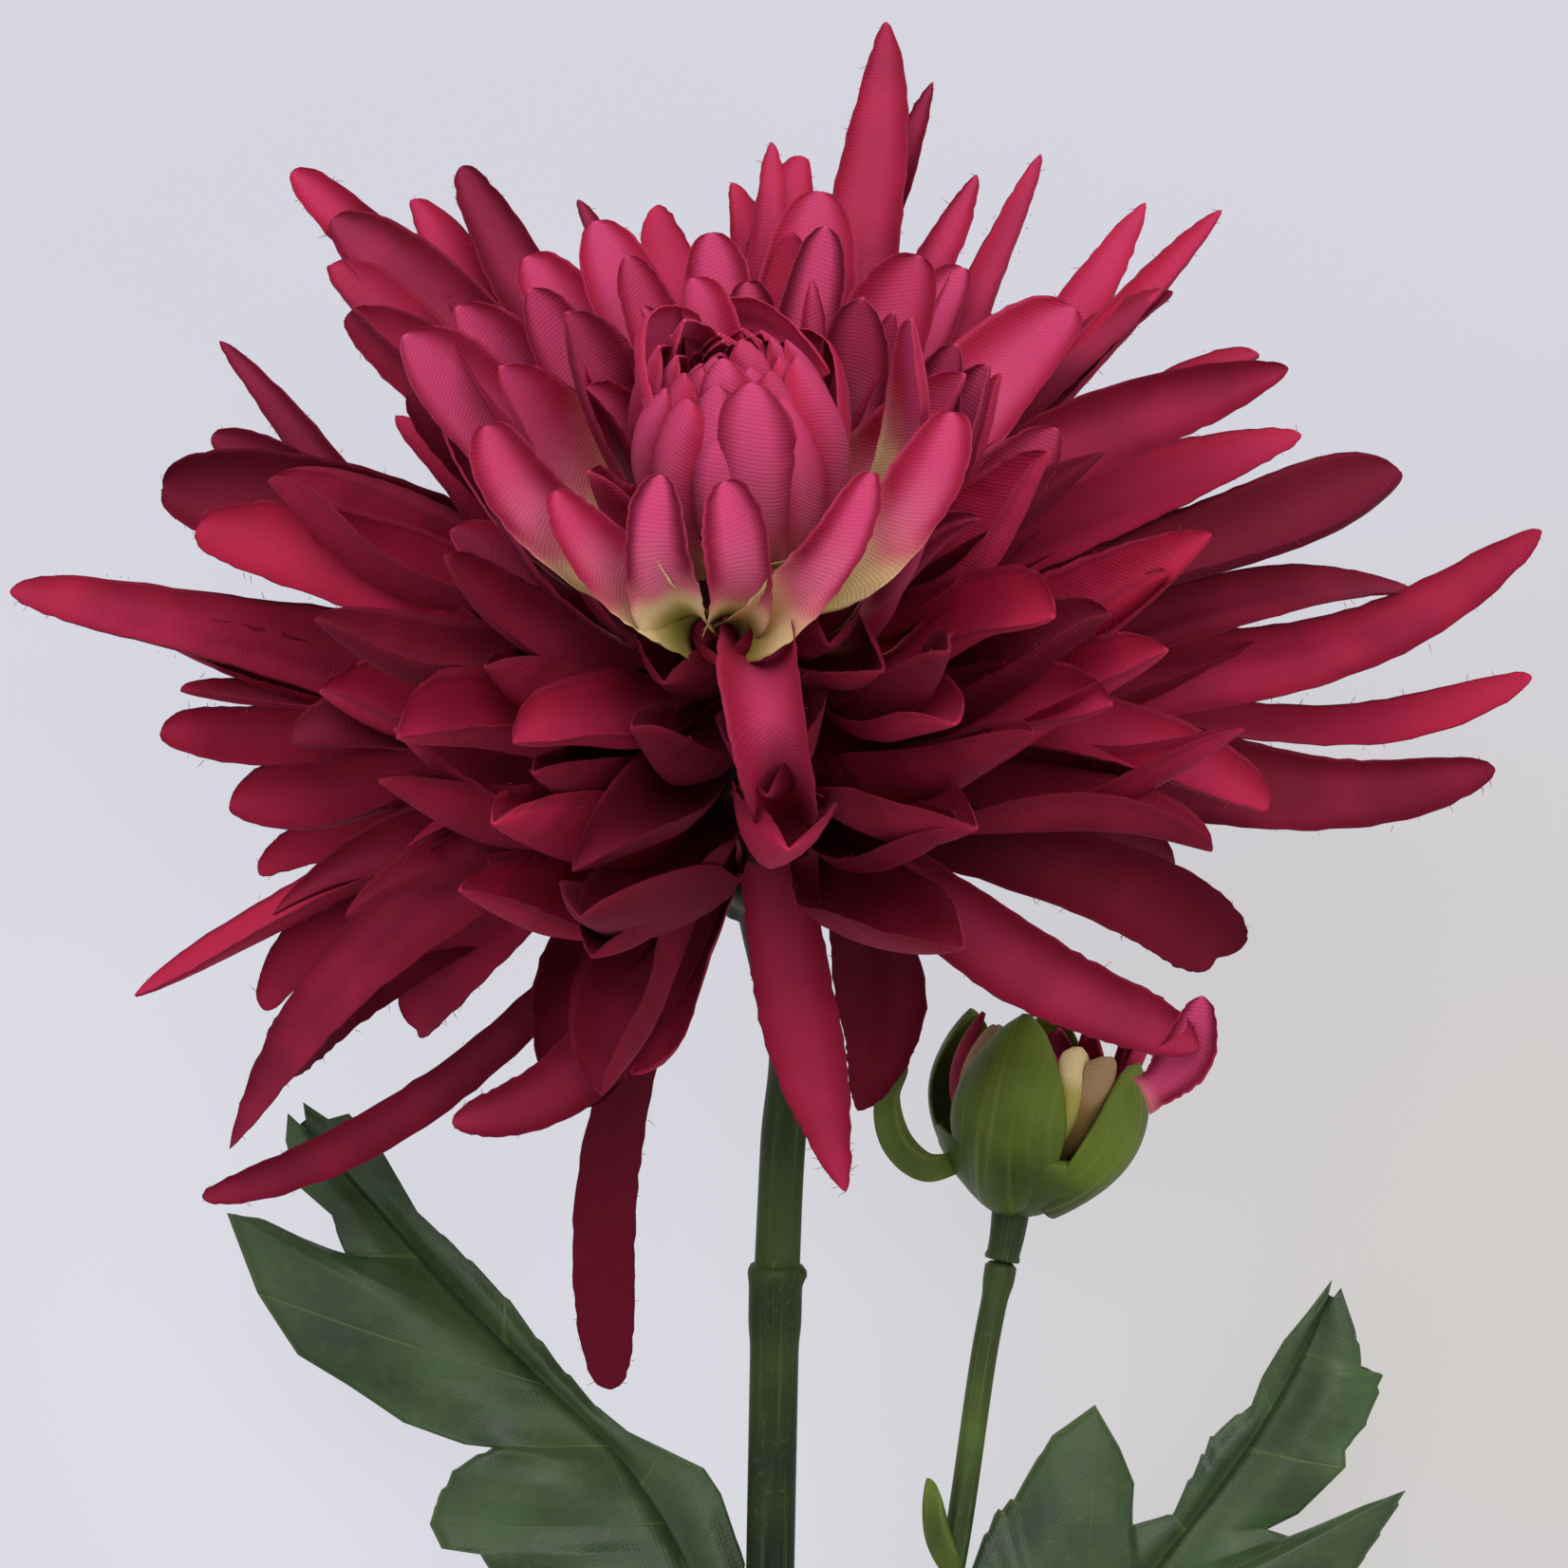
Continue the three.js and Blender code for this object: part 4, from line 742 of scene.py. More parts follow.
def long_petal(k, row, scoop):
    across, up, rise, root, launch, swing, width, blunt, bend = row
    pale = OUTER_TONE[0] + PALE_MOST * min(1, max(0, up - PALE_FROM) / PALE_SPAN)
    return petal(root, seen(across, up, rise), launch - SCOOP_DROP * scoop, swing, RING_FACING,
                 width=LONG_WIDENING * width, blunt=blunt, bend=bend,
                 cup=0.35 + 0.2 * spread(500 + k) + SCOOP_CUP * scoop,
                 roll=30 * spread(600 + k), wave=0.26, phase=6 * draw(700 + k),
                 tone=(pale, 0, 0))


def rest_petal(x, y, root, width):
    shape = petal(root, table_to_bloom(x, y, -REST_DIP), 0, 0, 0, width=width, blunt=8, cup=0.1)
    shape["control"] = table_to_bloom(0.62 * x, 0.62 * y, -3 * REST_DIP)
    shape["side"] = unit(np.array([-y, TILT_SIN * x, TILT_COS * x]))
    return shape


def hanging_petal(middle, tip, reach, root, width, blunt, cup, roll, waist):
    middle, tip = table_to_bloom(*middle), table_to_bloom(*tip)
    azimuth = math.degrees(math.atan2(middle[1], middle[0]))
    return led_petal(at(azimuth, reach, root), middle, tip, width=width, blunt=blunt,
                     cup=cup, roll=roll, waist=waist)


long_shapes = [long_petal(k, row, 0) for k, row in enumerate(LONG_PETALS)]
long_shapes += [long_petal(k + FIRST_SCOOP, row, 1) for k, row in enumerate(SCOOP_PETALS)]
long_shapes += [hanging_petal(*row) | dict(chance=chance, tone=(pale, 0, 0))
                for row, (chance, pale) in zip(HANGING_PETALS, HANGING_SHADES)]
long_shapes += [rest_petal(*row) for row in REST_PETALS]
sewn_petals("bloom_long_petals", long_shapes, 48, OUTER_TONE, 5000)

# %% [markdown]
# ## The cup of paler petals
#
# Round the heart stands a cup of shorter, rounder petals. The machine that pressed them rubbed
# them pink and left their roots cream, a painted highlight lightens their hollows, and that pale
# cup is what the eye goes to. In front of the heart a few broad ones spread like wings, so they
# are led through a middle point.

# %% List the petals of the cup
# Each row: across, up, rise, root height, launch, swing, width, bluntness
CUP_PETALS = [
    (-20.6, 36.9, 45, 21, 35, 0, 7.2, 8),
    (-28.7, 39.8, 44, 19, 30, 0, 9.4, 9), (-24.6, 42.4, 44, 20, 35, 0, 8, 7),
    (-18.6, 43.6, 47, 22, 40, 0, 6.6, 8), (-15.2, 41, 50, 23, 45, 0, 7, 9),
    (12.1, 40.2, 52, 22, 30, 10, 6.6, 4.5), (16, 38.9, 45, 20, 30, 6, 6.4, 7),
    (18.6, 37.3, 43, 20, 30, -6, 6.6, 5), (26.4, 43.4, 36, 18, 30, 0, 8.8, 8),
    (8.4, 42.6, 48, 22, 45, 0, 6.6, 9), (-19.4, 47.3, 42, 20, 40, 0, 7, 9),
    (-13.6, 50, 46, 21, 45, 0, 6.8, 9), (-10.8, 46.6, 47, 23, 50, 0, 5.4, 8),
    (-4, 49.1, 45, 21, 50, 0, 6.2, 9), (5.1, 53.2, 44, 20, 40, 0, 8.6, 8),
    (5.5, 49.3, 47, 22, 50, 0, 6, 7), (13.3, 47.3, 43, 20, 40, 0, 8.2, 9),
    (17.2, 46.9, 38, 18, 35, 0, 6.2, 8), (24.6, 32.8, 33, 17, 15, -8, 7.6, 6),
    (-25.8, 33.6, 37, 18, 20, 6, 8, 7), (-22.2, 27.4, 33, 18, 10, 8, 7.8, 6),
    (-25.3, 24.4, 27, 16, 5, 6, 7.6, 6), (12.6, 24.6, 36, 18, 10, 10, 7.2, 8),
    (19.4, 24, 28, 17, 5, -8, 8, 6), (-11.4, 26.6, 38, 20, 20, 4, 8, 7),
    (14.4, 27.8, 40, 20, 20, -4, 7.6, 7), (9.6, 21.6, 33, 19, 5, 10, 7.6, 7),
    (-15.8, 22.8, 31, 18, 5, -8, 8, 7),
]
# These of them, counted from nothing, show more of their undyed roots and a stronger painted
# highlight
CREAMY = (0, 5, 6, 19, 22, 25)
# Between them and the heart stand narrower ones, in rings
INNER_RINGS = [
    dict(count=16, turn=5, root=24, length=25, rise=50, lean=12, front=0.85, scoop=12, seed=2111),
    dict(count=13, turn=16, root=20, length=27, rise=38, lean=18, front=0.8, scoop=16, seed=2311),
]
# The wings, and in the last row the curled end of a long petal over the bud. Each row: x and y
# from the calyx and height over the table of the root, of the middle and of the tip, width,
# bluntness, cup, roll, and how far up the undyed root reaches, which also sets the painted
# highlight in the hollow
WING_PETALS = [
    ((-5, 16.4, 62), (-11.6, 20, 69.6), (-16, 26.6, 69), 5.6, 4, 0.7, 20, 0.38),
    ((-2, 16, 62), (4.8, 19.4, 71), (9, 28, 70), 5.2, 4.4, 0.7, -20, 0.36),
    ((-5.6, 17, 64), (-8, 20.6, 71), (-7.6, 27.8, 71), 6, 4, 0.6, 8, 0.32),
    ((-2.4, 17, 64), (-1.2, 20.6, 71), (-2.6, 27.2, 71.2), 5.6, 5, 0.6, -8, 0.26),
    ((-8, 20, 62), (-16.4, 23.6, 66.6), (-21.6, 32, 65), 6.4, 5, 0.7, 16, 0.4),
    ((2, 20, 62), (11, 23.4, 67.6), (15.4, 33, 66), 6.2, 5, 0.7, -16, 0.42),
    ((31.8, -22, 44), (35.2, -19, 45.6), (36.6, -14, 47.4), 4.6, 6, 0.4, 0, 0),
]
print("petals of the cup", len(CUP_PETALS), "wings", len(WING_PETALS))

# %% Make the cup
CUP_WAIST = 0.7
CREAMY_EXTRA = 0.16
# How much higher a petal towards the viewer is set, and how much lower it sets out, in degrees
NEAR_RAISE, NEAR_TIP_OVER = 5, 40
INNER_NARROWING = 0.62
# Of the narrow petals, none ends lower than this in front of the heart, where the wings are
WINGS_END = 24


def cup_petal(k, row):
    across, up, rise, root, launch, swing, width, blunt = row
    tip = seen(across, up, rise)
    near = nearness(tip)
    pale, cream, dry = CUP_TONE
    return petal(root + NEAR_RAISE * near, tip, launch - NEAR_TIP_OVER * near, swing, 1,
                 width=width, blunt=blunt, waist=CUP_WAIST, cup=0.5 + 0.2 * spread(900 + k),
                 roll=8 * spread(950 + k), tone=(pale, cream + CREAMY_EXTRA * (k in CREAMY), dry))


def wing_petal(start, middle, tip, width, blunt, cup, roll, cream):
    places = [table_to_bloom(*place) for place in (start, middle, tip)]
    return led_petal(*places, width=width, blunt=blunt, cup=cup, roll=roll, waist=0.75,
                     tone=(CUP_TONE[0], cream, 0))


def inner_petals():
    inner = dict(waist=CUP_WAIST, cup=0.7, roll=0)
    for shape in (shape for ring in INNER_RINGS for shape in petal_ring(**ring)):
        if (bloom_to_table(shape["tip"]) - CALYX)[1] > WINGS_END:
            yield shape | inner | dict(width=INNER_NARROWING * shape["width"])


cup_shapes = [cup_petal(k, row) for k, row in enumerate(CUP_PETALS)]
cup_shapes += [wing_petal(*row) for row in WING_PETALS]
cup_shapes += inner_petals()
sewn_petals("bloom_cup_petals", cup_shapes, 36, CUP_TONE, 7000)

# %% [markdown]
# ## The closed heart
#
# The heart is a bud of petals that lean over one another round a small opening. Four rows of
# them bulge out and close in again, and three narrow ones are wrapped round the opening itself.

# %% Make the heart
# Each row: count, turn, bulge, root height, tip height, lip radius, width, seed
HEART_ROWS = [
    (12, 250, 13, 25, 46, 5.4, 6.8, 1500), (10, 272, 11, 26, 48, 4, 6.2, 1600),
    (7, 300, 8.5, 28, 47.5, 2.2, 5.6, 1700), (5, 330, 6, 30, 47, 0.9, 5, 1800),
]
# The whole heart leans a little to one side
HEART_LEAN = np.array([-2.4, 0.0, 0.0])
# How far from the axis the rows start, how far up they bulge, and how far round their tips lie
HEART_FOOT, BULGE_RISE, TIP_TURN = 3, 13, 14
# Each row: start and end azimuth, radius, start and end height, bulge, width
HEART_WRAPS = [
    (165, 20, 8.6, 39, 43.5, 17, 5.6), (100, -10, 9.4, 42, 36, 17, 6.4),
    (215, 110, 6.5, 42, 46, 11, 5),
]


def heart_petals():
    made = []
    for count, turn, bulge, low, high, lip, width, seed in HEART_ROWS:
        for k in range(count):
            n = seed + k
            azimuth = turn + 360 * k / count + 9 * spread(n)
            made.append(FLAT_CUT | dict(
                start=at(azimuth, HEART_FOOT, low),
                control=at(azimuth, bulge, low + BULGE_RISE) + 0.6 * HEART_LEAN,
                tip=at(azimuth + TIP_TURN, lip, high + 2 * spread(n + 20)) + HEART_LEAN,
                side=direction(azimuth + 90, 0), width=width * (1 + 0.14 * spread(n + 40)),
                cup=0.45, blunt=7, waist=0.8, roll=12 * spread(n + 90)))
    for start, end, radius, low, high, bulge, width in HEART_WRAPS:
        made.append(FLAT_CUT | dict(
            start=at(start, radius, low) + HEART_LEAN, tip=at(end, radius, high) + HEART_LEAN,
            control=at((start + end) / 2, bulge, (low + high) / 2 + 5) + HEART_LEAN,
            side=np.array([0.0, 0.0, 1.0]), width=width, cup=0.2, chance=1, tone=(1, 0, 0)))
    return made


sewn_petals("bloom_heart_petals", heart_petals(), 36, HEART_TONE, 9000)

# %% [markdown]
# ## Loose threads
#
# Cloth that is cut and not hemmed frays. Short threads stand off the edges of the long petals,
# most of them near the tips. They are real geometry, three-sided and less than a tenth of a
# millimetre thick, because a particle system would not survive the export.

# %% Fray the long petals
THREAD_RADIUS = 0.035
THREADS_PER_PETAL = 20
# A thread leaves a petal just inside its rim, where the cup has lifted the cloth by this share
THREAD_PLACE = 0.97
THREAD_LIFT = 0.94 + 0.83 * RIM_CURL
# The notes of a thread are the same all along it, so it shows no ribs and no cream
THREAD_NOTES = dict(cloth=(0, 0, 0.5), place=(0.5, 0.5, 0), tone=(0.5, 0, 0))


def threads_of(shape, seed):
    """Three points for each thread: on the edge, further out, and its drooping end."""
    lines = []
    for k in range(THREADS_PER_PETAL):
        n = seed + 5 * k
        t = np.array([1 - 0.75 * draw(n) ** 1.3])
        centre, side, face = (rows[0] for rows in middle_line(shape, t))
        hand = 1 if draw(n + 1) > 0.5 else -1
        half = half_width(shape, t)[0]
        foot = centre + side * hand * half * THREAD_PLACE
        foot = foot + face * shape["cup"] * half * THREAD_LIFT
        length = 0.2 + 0.8 * draw(n + 2) ** 3
        along = np.cross(side, face)
        out = unit(side * hand + along * 0.9 * spread(n + 3) + face * 0.5 * spread(n + 4))
        middle = foot + out * length * 0.6
        droop = unit(out + along * 0.8 * spread(n + 2.5))
        lines.append([foot, middle, middle + droop * length / 2])
    return lines


def thread_piece():
    lines = []
    for k, shape in enumerate(long_shapes):
        lines += threads_of(shape, 20000 + 97 * k)
    points, faces = [], []
    for line in np.array(lines):
        out = unit(line[1] - line[0])
        side = unit(np.cross(out, (0.31, 0.22, 0.92)))
        ring = [side * math.cos(a) + np.cross(out, side) * math.sin(a) for a in (0, 2.1, 4.2)]
        first = len(points)
        points += [line[0] + THREAD_RADIUS * r for r in ring]
        points += [line[1] + 0.8 * THREAD_RADIUS * r for r in ring]
        points.append(line[2])
        for j in range(3):
            k = (j + 1) % 3
            faces.append((first + j, first + k, first + 3 + k, first + 3 + j))
            faces.append((first + 3 + j, first + 3 + k, first + 6))
        faces.append((first + 2, first + 1, first))
    places = bloom_to_table(np.array(points))
    places[:, 2] = np.maximum(places[:, 2], TABLE_GAP)
    notes = {note: np.tile(numbers, len(points)) for note, numbers in THREAD_NOTES.items()}
    make_piece("bloom_threads", places, faces, notes, PETAL_CLOTH, "petal_fabric", "bloom")


thread_piece()

# %% [markdown]
# ## Moulded green plastic
#
# The stem is moulded over a wire in two halves. The plastic has a satin gloss, a slow change
# from yellow green to dark green, faint lines along its length, and a little dust. The thin side
# stem and the sepals are moulded in lighter greens, so one function mixes all three.

# %% Mix the green plastics
GREY_DUST = dye(150, 160, 120)
# The surface has faint strokes: so many to a radian round a stem, to a millimetre across a
# sepal, and to a millimetre along both
STEM_STROKES, SEPAL_STROKES, STROKES_ALONG = 6.0, 1.3, 0.06


def green_plastic(name, deep, fresh, worn, strokes_across):
    finish = Finish(name, {"Specular IOR Level": 0.25})
    _, around, along, _ = finish.note("cloth")
    position = finish.position()
    clouds = finish.noise(position, 60.0, 3.0)
    specks = finish.noise(position, 1400.0)
    stretched = {0: around * strokes_across, 1: along * STROKES_ALONG}
    strokes = finish.noise(finish.node("ShaderNodeCombineXYZ", {}, stretched), 1.0)
    body = finish.mix(finish.ramp(clouds, 0.3, 0.7), deep, fresh)
    streaked = finish.mix(finish.ramp(strokes, 0.5, 0.8) * 0.6, body, worn)
    dusty = finish.mix(finish.ramp(specks, 0.56, 0.8) * 0.08, streaked, GREY_DUST)
    finish.use("Base Color", dusty)
    finish.use("Roughness", 0.36 + 0.22 * clouds + 0.1 * specks)
    finish.relief(strokes * 0.8 + specks * 0.25 + clouds * 0.3, 0.00008, 0.6)
    return finish.material


STEM_PLASTIC = green_plastic(
    "stem_plastic", dye(13, 22, 5), dye(50, 64, 17), dye(68, 84, 36), STEM_STROKES)
TWIG_PLASTIC = green_plastic(
    "twig_plastic", dye(30, 42, 14), dye(78, 98, 36), dye(96, 116, 58), STEM_STROKES)
SEPAL_PLASTIC = green_plastic(
    "sepal_plastic", dye(50, 64, 13), dye(102, 122, 32), dye(126, 132, 60), SEPAL_STROKES)
print("plastics", STEM_PLASTIC.name, TWIG_PLASTIC.name, SEPAL_PLASTIC.name)

# %% [markdown]
# ## Round stems
#
# A stem is a curve with a round section. The curve runs smoothly through a few points, like that
# of the solids, and the script steps along it evenly. The section is carried along without
# twisting, which keeps the two mould lines straight.

# %% Step evenly along a smooth line
STEPS_BETWEEN = 40


def smooth_line(points, count):
    """Points at even steps along a centripetal Catmull-Rom curve through the given ones."""
    points = np.array(points, float)
    padded = np.vstack([2 * points[0] - points[1], points, 2 * points[-1] - points[-2]])
    fine = []
    for p0, p1, p2, p3 in zip(padded, padded[1:], padded[2:], padded[3:]):
        gaps = [max(np.linalg.norm(b - a) ** 0.5, 1e-4) for a, b in ((p0, p1), (p1, p2), (p2, p3))]
        m1 = ((p1 - p0) / gaps[0] - (p2 - p0) / (gaps[0] + gaps[1]) + (p2 - p1) / gaps[1]) * gaps[1]
        m2 = ((p2 - p1) / gaps[1] - (p3 - p1) / (gaps[1] + gaps[2]) + (p3 - p2) / gaps[2]) * gaps[1]
        u = np.linspace(0, 1, STEPS_BETWEEN, endpoint=False)[:, None]
        fine.append(p1 + m1 * u + (3 * (p2 - p1) - 2 * m1 - m2) * u ** 2
                    + (2 * (p1 - p2) + m1 + m2) * u ** 3)
    fine = np.vstack(fine + [points[-1:]])
    length = measured(fine)
    even = np.linspace(0, length[-1], count)
    return np.stack([np.interp(even, length, fine[:, k]) for k in range(3)], -1), length[-1]


def carried_sides(line):
    """How the line runs at each point, and a side that never twists about it."""
    along = unit(np.gradient(line, axis=0))
    side = np.cross(along[0], (0, 0, 1.0))
    sides = []
    for way in along:
        side = unit(side - way * (side @ way))
        sides.append(side)
    return along, np.array(sides)


print("steps evenly", smooth_line([(0, 0, 0), (0, 9, 0), (0, 10, 0)], 3)[0][1])

# %% [markdown]
# The skin of a stem is a grid rolled into a tube. Its radius is a formula of the angle and of
# the length, so that one helper serves for collars, mould lines, grooves and cut ends.

# %% Roll the skin of a stem
SIDES = 48


def tube_faces(rows, around):
    """The faces of a grid rolled round, and the numbers of its first and its last ring."""
    number = np.arange(rows * around).reshape(rows, around)
    after = np.roll(number, -1, 1)
    faces = np.stack([number[:-1], after[:-1], after[1:], number[1:]], -1).reshape(-1, 4)
    return faces.tolist(), number[0].tolist(), number[-1].tolist()


def stem_piece(name, line, radius_at, steps, material, slot, *nodes):
    centres, length = smooth_line(line, steps)
    centres = beside_calyx(centres)
    along, side = carried_sides(centres)
    face = np.cross(along, side)
    angle = np.linspace(0, 2 * math.pi, SIDES, endpoint=False)
    distance = np.linspace(0, length, steps)
    radius = radius_at(angle[None, :], distance[:, None], length)
    ring = side[:, None] * np.cos(angle)[:, None] + face[:, None] * np.sin(angle)[:, None]
    points = centres[:, None] + ring * radius[..., None]
    points[..., 2] = np.maximum(points[..., 2], 0)
    faces, foot, end = tube_faces(steps, SIDES)
    faces += [foot[::-1], end]
    skin = np.stack([np.broadcast_to(angle[None, :], radius.shape),
                     np.broadcast_to(distance[:, None], radius.shape), radius], -1)
    make_piece(name, points.reshape(-1, 3), faces, {"cloth": skin}, material, slot, *nodes)


def bump_at(value, centre, width):
    """A soft bump, 1 at its centre."""
    return np.exp(-((value - centre) / width) ** 2)


print("sides of a stem", SIDES)

# %% [markdown]
# ## The stems of this flower
#
# A plain stem comes down from the calyx and ends in the main stem, whose collar has a rounded
# lip with a burr on one side. The side stem leaves the main one lower down and carries the bud.

# %% List the lines of the stems
HEAD_STEM_LINE = [(0, -3.4, 34.4), (0, -6.6, 32), (1, -11.6, 30.2), (2.7, -18.7, 29.2),
                  (2, -27.2, 28.3), (1.3, -42.5, 26.5)]
MAIN_STEM_LINE = [(1.4, -37.4, 27.2), (1.3, -42.5, 26.5), (0.9, -64, 23.7), (0.4, -95, 19.4),
                  (1.2, -130, 14.2), (2.6, -165, 9), (3.2, -195, 4.6), (3, -214, 1.8)]
SIDE_STEM_LINE = [(21.1, -38.3, 18), (20.9, -39.6, 18), (19.7, -45.7, 18), (16.8, -64.9, 17.9),
                  (13.4, -80, 17.7), (8.6, -95, 17.4), (3.4, -107, 17.2), (0.7, -114, 16.7)]
NECK_LINE = [(22.1, -32.4, 18), (21.6, -36, 18), (21.1, -38.3, 18), (20.6, -41.2, 18)]
print("the main stem is", round(smooth_line(MAIN_STEM_LINE, 2)[1]), "mm long")

# %% [markdown]
# The radius of each stem is a sum: the moulded round, and at its ends a collar, a lip and a
# mouth. An end is a little rounded by letting the radius fall within the last quarter millimetre.

# %% Shape the stems by their radius
HEAD_RADIUS, MAIN_RADIUS, SIDE_RADIUS, NECK_RADIUS, WIRE_RADIUS = 1.95, 2.1, 1.15, 1.75, 0.65
NECK_LENGTH = 5.9


def moulded(angle):
    """Two thin mould lines and a shallow groove, as a share of the radius."""
    lines = bump_at(angle, 1.2, 0.07) + bump_at(angle, 1.2 + math.pi, 0.07)
    groove = bump_at(angle, 4.0, 0.45) + 0.6 * bump_at(angle, 2.4, 0.3)
    return 0.03 * lines - 0.05 * groove


def head_radius(angle, distance, length):
    waver = 0.01 * np.sin(distance / 2.7)
    return HEAD_RADIUS * (1 + moulded(angle) + waver)


def main_radius(angle, distance, length):
    collar = 0.2 / (1 + np.exp((distance - 6.5) * 2.2))
    lip = 0.14 * bump_at(distance, 1.1, 0.7) * (1 + 2.4 * bump_at(angle, 3.4, 0.6))
    mouth = -0.9 * np.exp(-distance / 0.22)
    cut = -0.35 * np.exp((distance - length) / 0.25)
    return MAIN_RADIUS * (1 + moulded(angle)) + collar + lip + mouth + cut


def side_radius(angle, distance, length):
    collar = 0.25 / (1 + np.exp((distance - 2.4) * 3.0))
    root = 0.9 * np.exp((distance - length + 3) / 2.5)
    mouth = -0.4 * np.exp(-distance / 0.08)
    return SIDE_RADIUS * (1 + moulded(angle)) + collar + root + mouth


def neck_radius(angle, distance, length):
    """A cone with a lip, and below it the bare wire that enters the side stem."""
    lip = 0.16 * bump_at(distance, NECK_LENGTH - 0.3, 0.3)
    cone = NECK_RADIUS - 0.06 * distance + lip
    return np.where(distance < NECK_LENGTH, cone, WIRE_RADIUS) + 0 * angle


for name, line, radius_at, steps, plastic, node in (
        ("head_stem_skin", HEAD_STEM_LINE, head_radius, 120, STEM_PLASTIC, "head_stem"),
        ("main_stem_skin", MAIN_STEM_LINE, main_radius, 420, STEM_PLASTIC, "stem"),
        ("side_stem_skin", SIDE_STEM_LINE, side_radius, 220, TWIG_PLASTIC, "stem"),
        ("bud_neck_skin", NECK_LINE, neck_radius, 90, TWIG_PLASTIC, "bud_calyx")):
    stem_piece(name, line, radius_at, steps, plastic, "stem_plastic", node)

# %% [markdown]
# ## Cups turned on an axis
#
# The calyx under the bloom and the cup of the bud are both round, so they are turned like on a
# lathe from half a profile. Shallow ribs are pressed into the turned skin: one for each sepal of
# the bud, and twice as many round the calyx.

# %% Turn the calyx and the bud's cup
TURNED_SIDES = 96
# Each profile lists radius and height along the axis, from one end round to the other
CALYX_PROFILE = [
    (0, -1.3), (3.4, -1.3), (5.0, -1.7), (5.6, -2.8), (5.4, -3.8), (5, -4.8), (4.2, -5.8),
    (3.6, -6.6), (3.35, -7.5), (3.3, -8.2), (2.2, -8.3), (0, -8.2)]
BUD_CUP_PROFILE = [
    (0, -1.2), (1.5, -1.2), (2.9, -0.6), (4, 0.2), (5.4, 1.4), (6.5, 2.6), (7.4, 3.9),
    (7.8, 5.2), (7.5, 5.6), (7, 5.4), (5.8, 3.4), (3.4, 1.5), (0, 1.1)]
BUD_BASE = beside_calyx(np.array([22.1, -32.9, 18]))
BUD_AXIS = direction(80, 8)
CALYX_RIBS, BUD_RIBS = 10, 5


def bud_to_table(points):
    turn = Vector((0, 0, 1)).rotation_difference(Vector(BUD_AXIS)).to_matrix()
    return points @ np.array(turn).T + BUD_BASE


def turned_piece(name, profile, ribs, depth, to_table, material, slot, *nodes):
    """A profile turned about an axis, with this many ribs, as deep as a share of its radius."""
    profile = np.array(profile, float)
    angle = np.linspace(0, 2 * math.pi, TURNED_SIDES, endpoint=False)
    inner = profile[1:-1]
    radius = inner[:, :1] * (1 + depth * np.cos(ribs * angle)[None, :])
    x, y = radius * np.cos(angle), radius * np.sin(angle)
    z = np.broadcast_to(inner[:, 1:], x.shape)
    points = np.stack([x, y, z], -1).reshape(-1, 3)
    points = np.vstack([points, [0, 0, profile[0, 1]], [0, 0, profile[-1, 1]]])
    faces, start, end = tube_faces(len(inner), TURNED_SIDES)
    first, last = len(points) - 2, len(points) - 1
    faces += [(first, b, a) for a, b in zip(start, start[1:] + start[:1])]
    faces += [(last, a, b) for a, b in zip(end, end[1:] + end[:1])]
    skin = np.stack([np.arctan2(points[:, 1], points[:, 0]), points[:, 2], points[:, 2]], -1)
    make_piece(name, to_table(points), faces, {"cloth": skin}, material, slot, *nodes)


turned_piece("calyx_cup", CALYX_PROFILE, CALYX_RIBS, 0.03, bloom_to_table,
             STEM_PLASTIC, "stem_plastic", "calyx")
turned_piece("bud_cup", BUD_CUP_PROFILE, BUD_RIBS, 0.02, bud_to_table,
             SEPAL_PLASTIC, "sepal_plastic", "bud_calyx")

# %% [markdown]
# ## The bud: sepals and petals
#
# Five thick sepals stand round the bud and one is bent off to the side. Between them show the
# petals of the bud: cream and brown withered ones, and the crimson tips of the rest. All are
# made by the petal rule, in the frame of the bud.

# %% List the blades of the bud
# Each row: azimuth, width, height, tip radius
SEPALS = [(243, 10.4, 17.5, 6.5), (323, 9.6, 14.6, 9), (12, 9, 14.5, 8.4), (72, 9, 16, 7.6),
          (128, 9, 15, 8.2)]
DARK, ROSE, CREAM, BROWN = (0.1, 0.0, 0.0), (0.7, 0.1, 0.0), (0.4, 1.3, 0.0), (0.2, 1.1, 0.7)
# Each row: azimuth, tip radius, tip height, width, tone
BUD_PETALS = [
    (200, 5, 15.5, 5.2, BROWN), (232, 4, 16.5, 5, DARK), (262, 5.4, 15, 5.6, ROSE),
    (284, 7, 15.6, 3.4, CREAM), (302, 8.4, 15.2, 4.4, BROWN), (340, 9.6, 20.4, 4.4, DARK),
    (356, 7.4, 18.6, 4.6, ROSE), (25, 5, 16, 5.2, DARK), (60, 4.4, 15, 5.4, ROSE),
    (100, 5, 15.6, 5.2, DARK), (135, 4.6, 14.6, 5.4, BROWN), (168, 5.4, 16, 5, DARK),
]
print("sepals", len(SEPALS), "petals of the bud", len(BUD_PETALS))

# %% Make the bud's blades
BLADE_ROWS = 30
BLADE_END = 0.995
# Radius and height of the roots, and the radius that the blades bulge to
SEPAL_ROOT, SEPAL_BULGE = (4, -0.2), 13.4
BUD_ROOT, BUD_BULGE = (4.6, 4.5), 9.4
SEPAL_THICKNESS, BUD_THICKNESS = 0.9, 0.4


def bud_blade(azimuth, root, bulge, tip, width):
    """A blade of the bud, whose root and tip are given by radius and height."""
    middle = root[1] + (tip[1] - root[1]) * 0.45
    return FLAT_CUT | dict(start=at(azimuth, *root), control=at(azimuth, bulge, middle),
                           tip=at(azimuth, *tip), side=direction(azimuth + 90, 0),
                           cup=0.5, width=width)


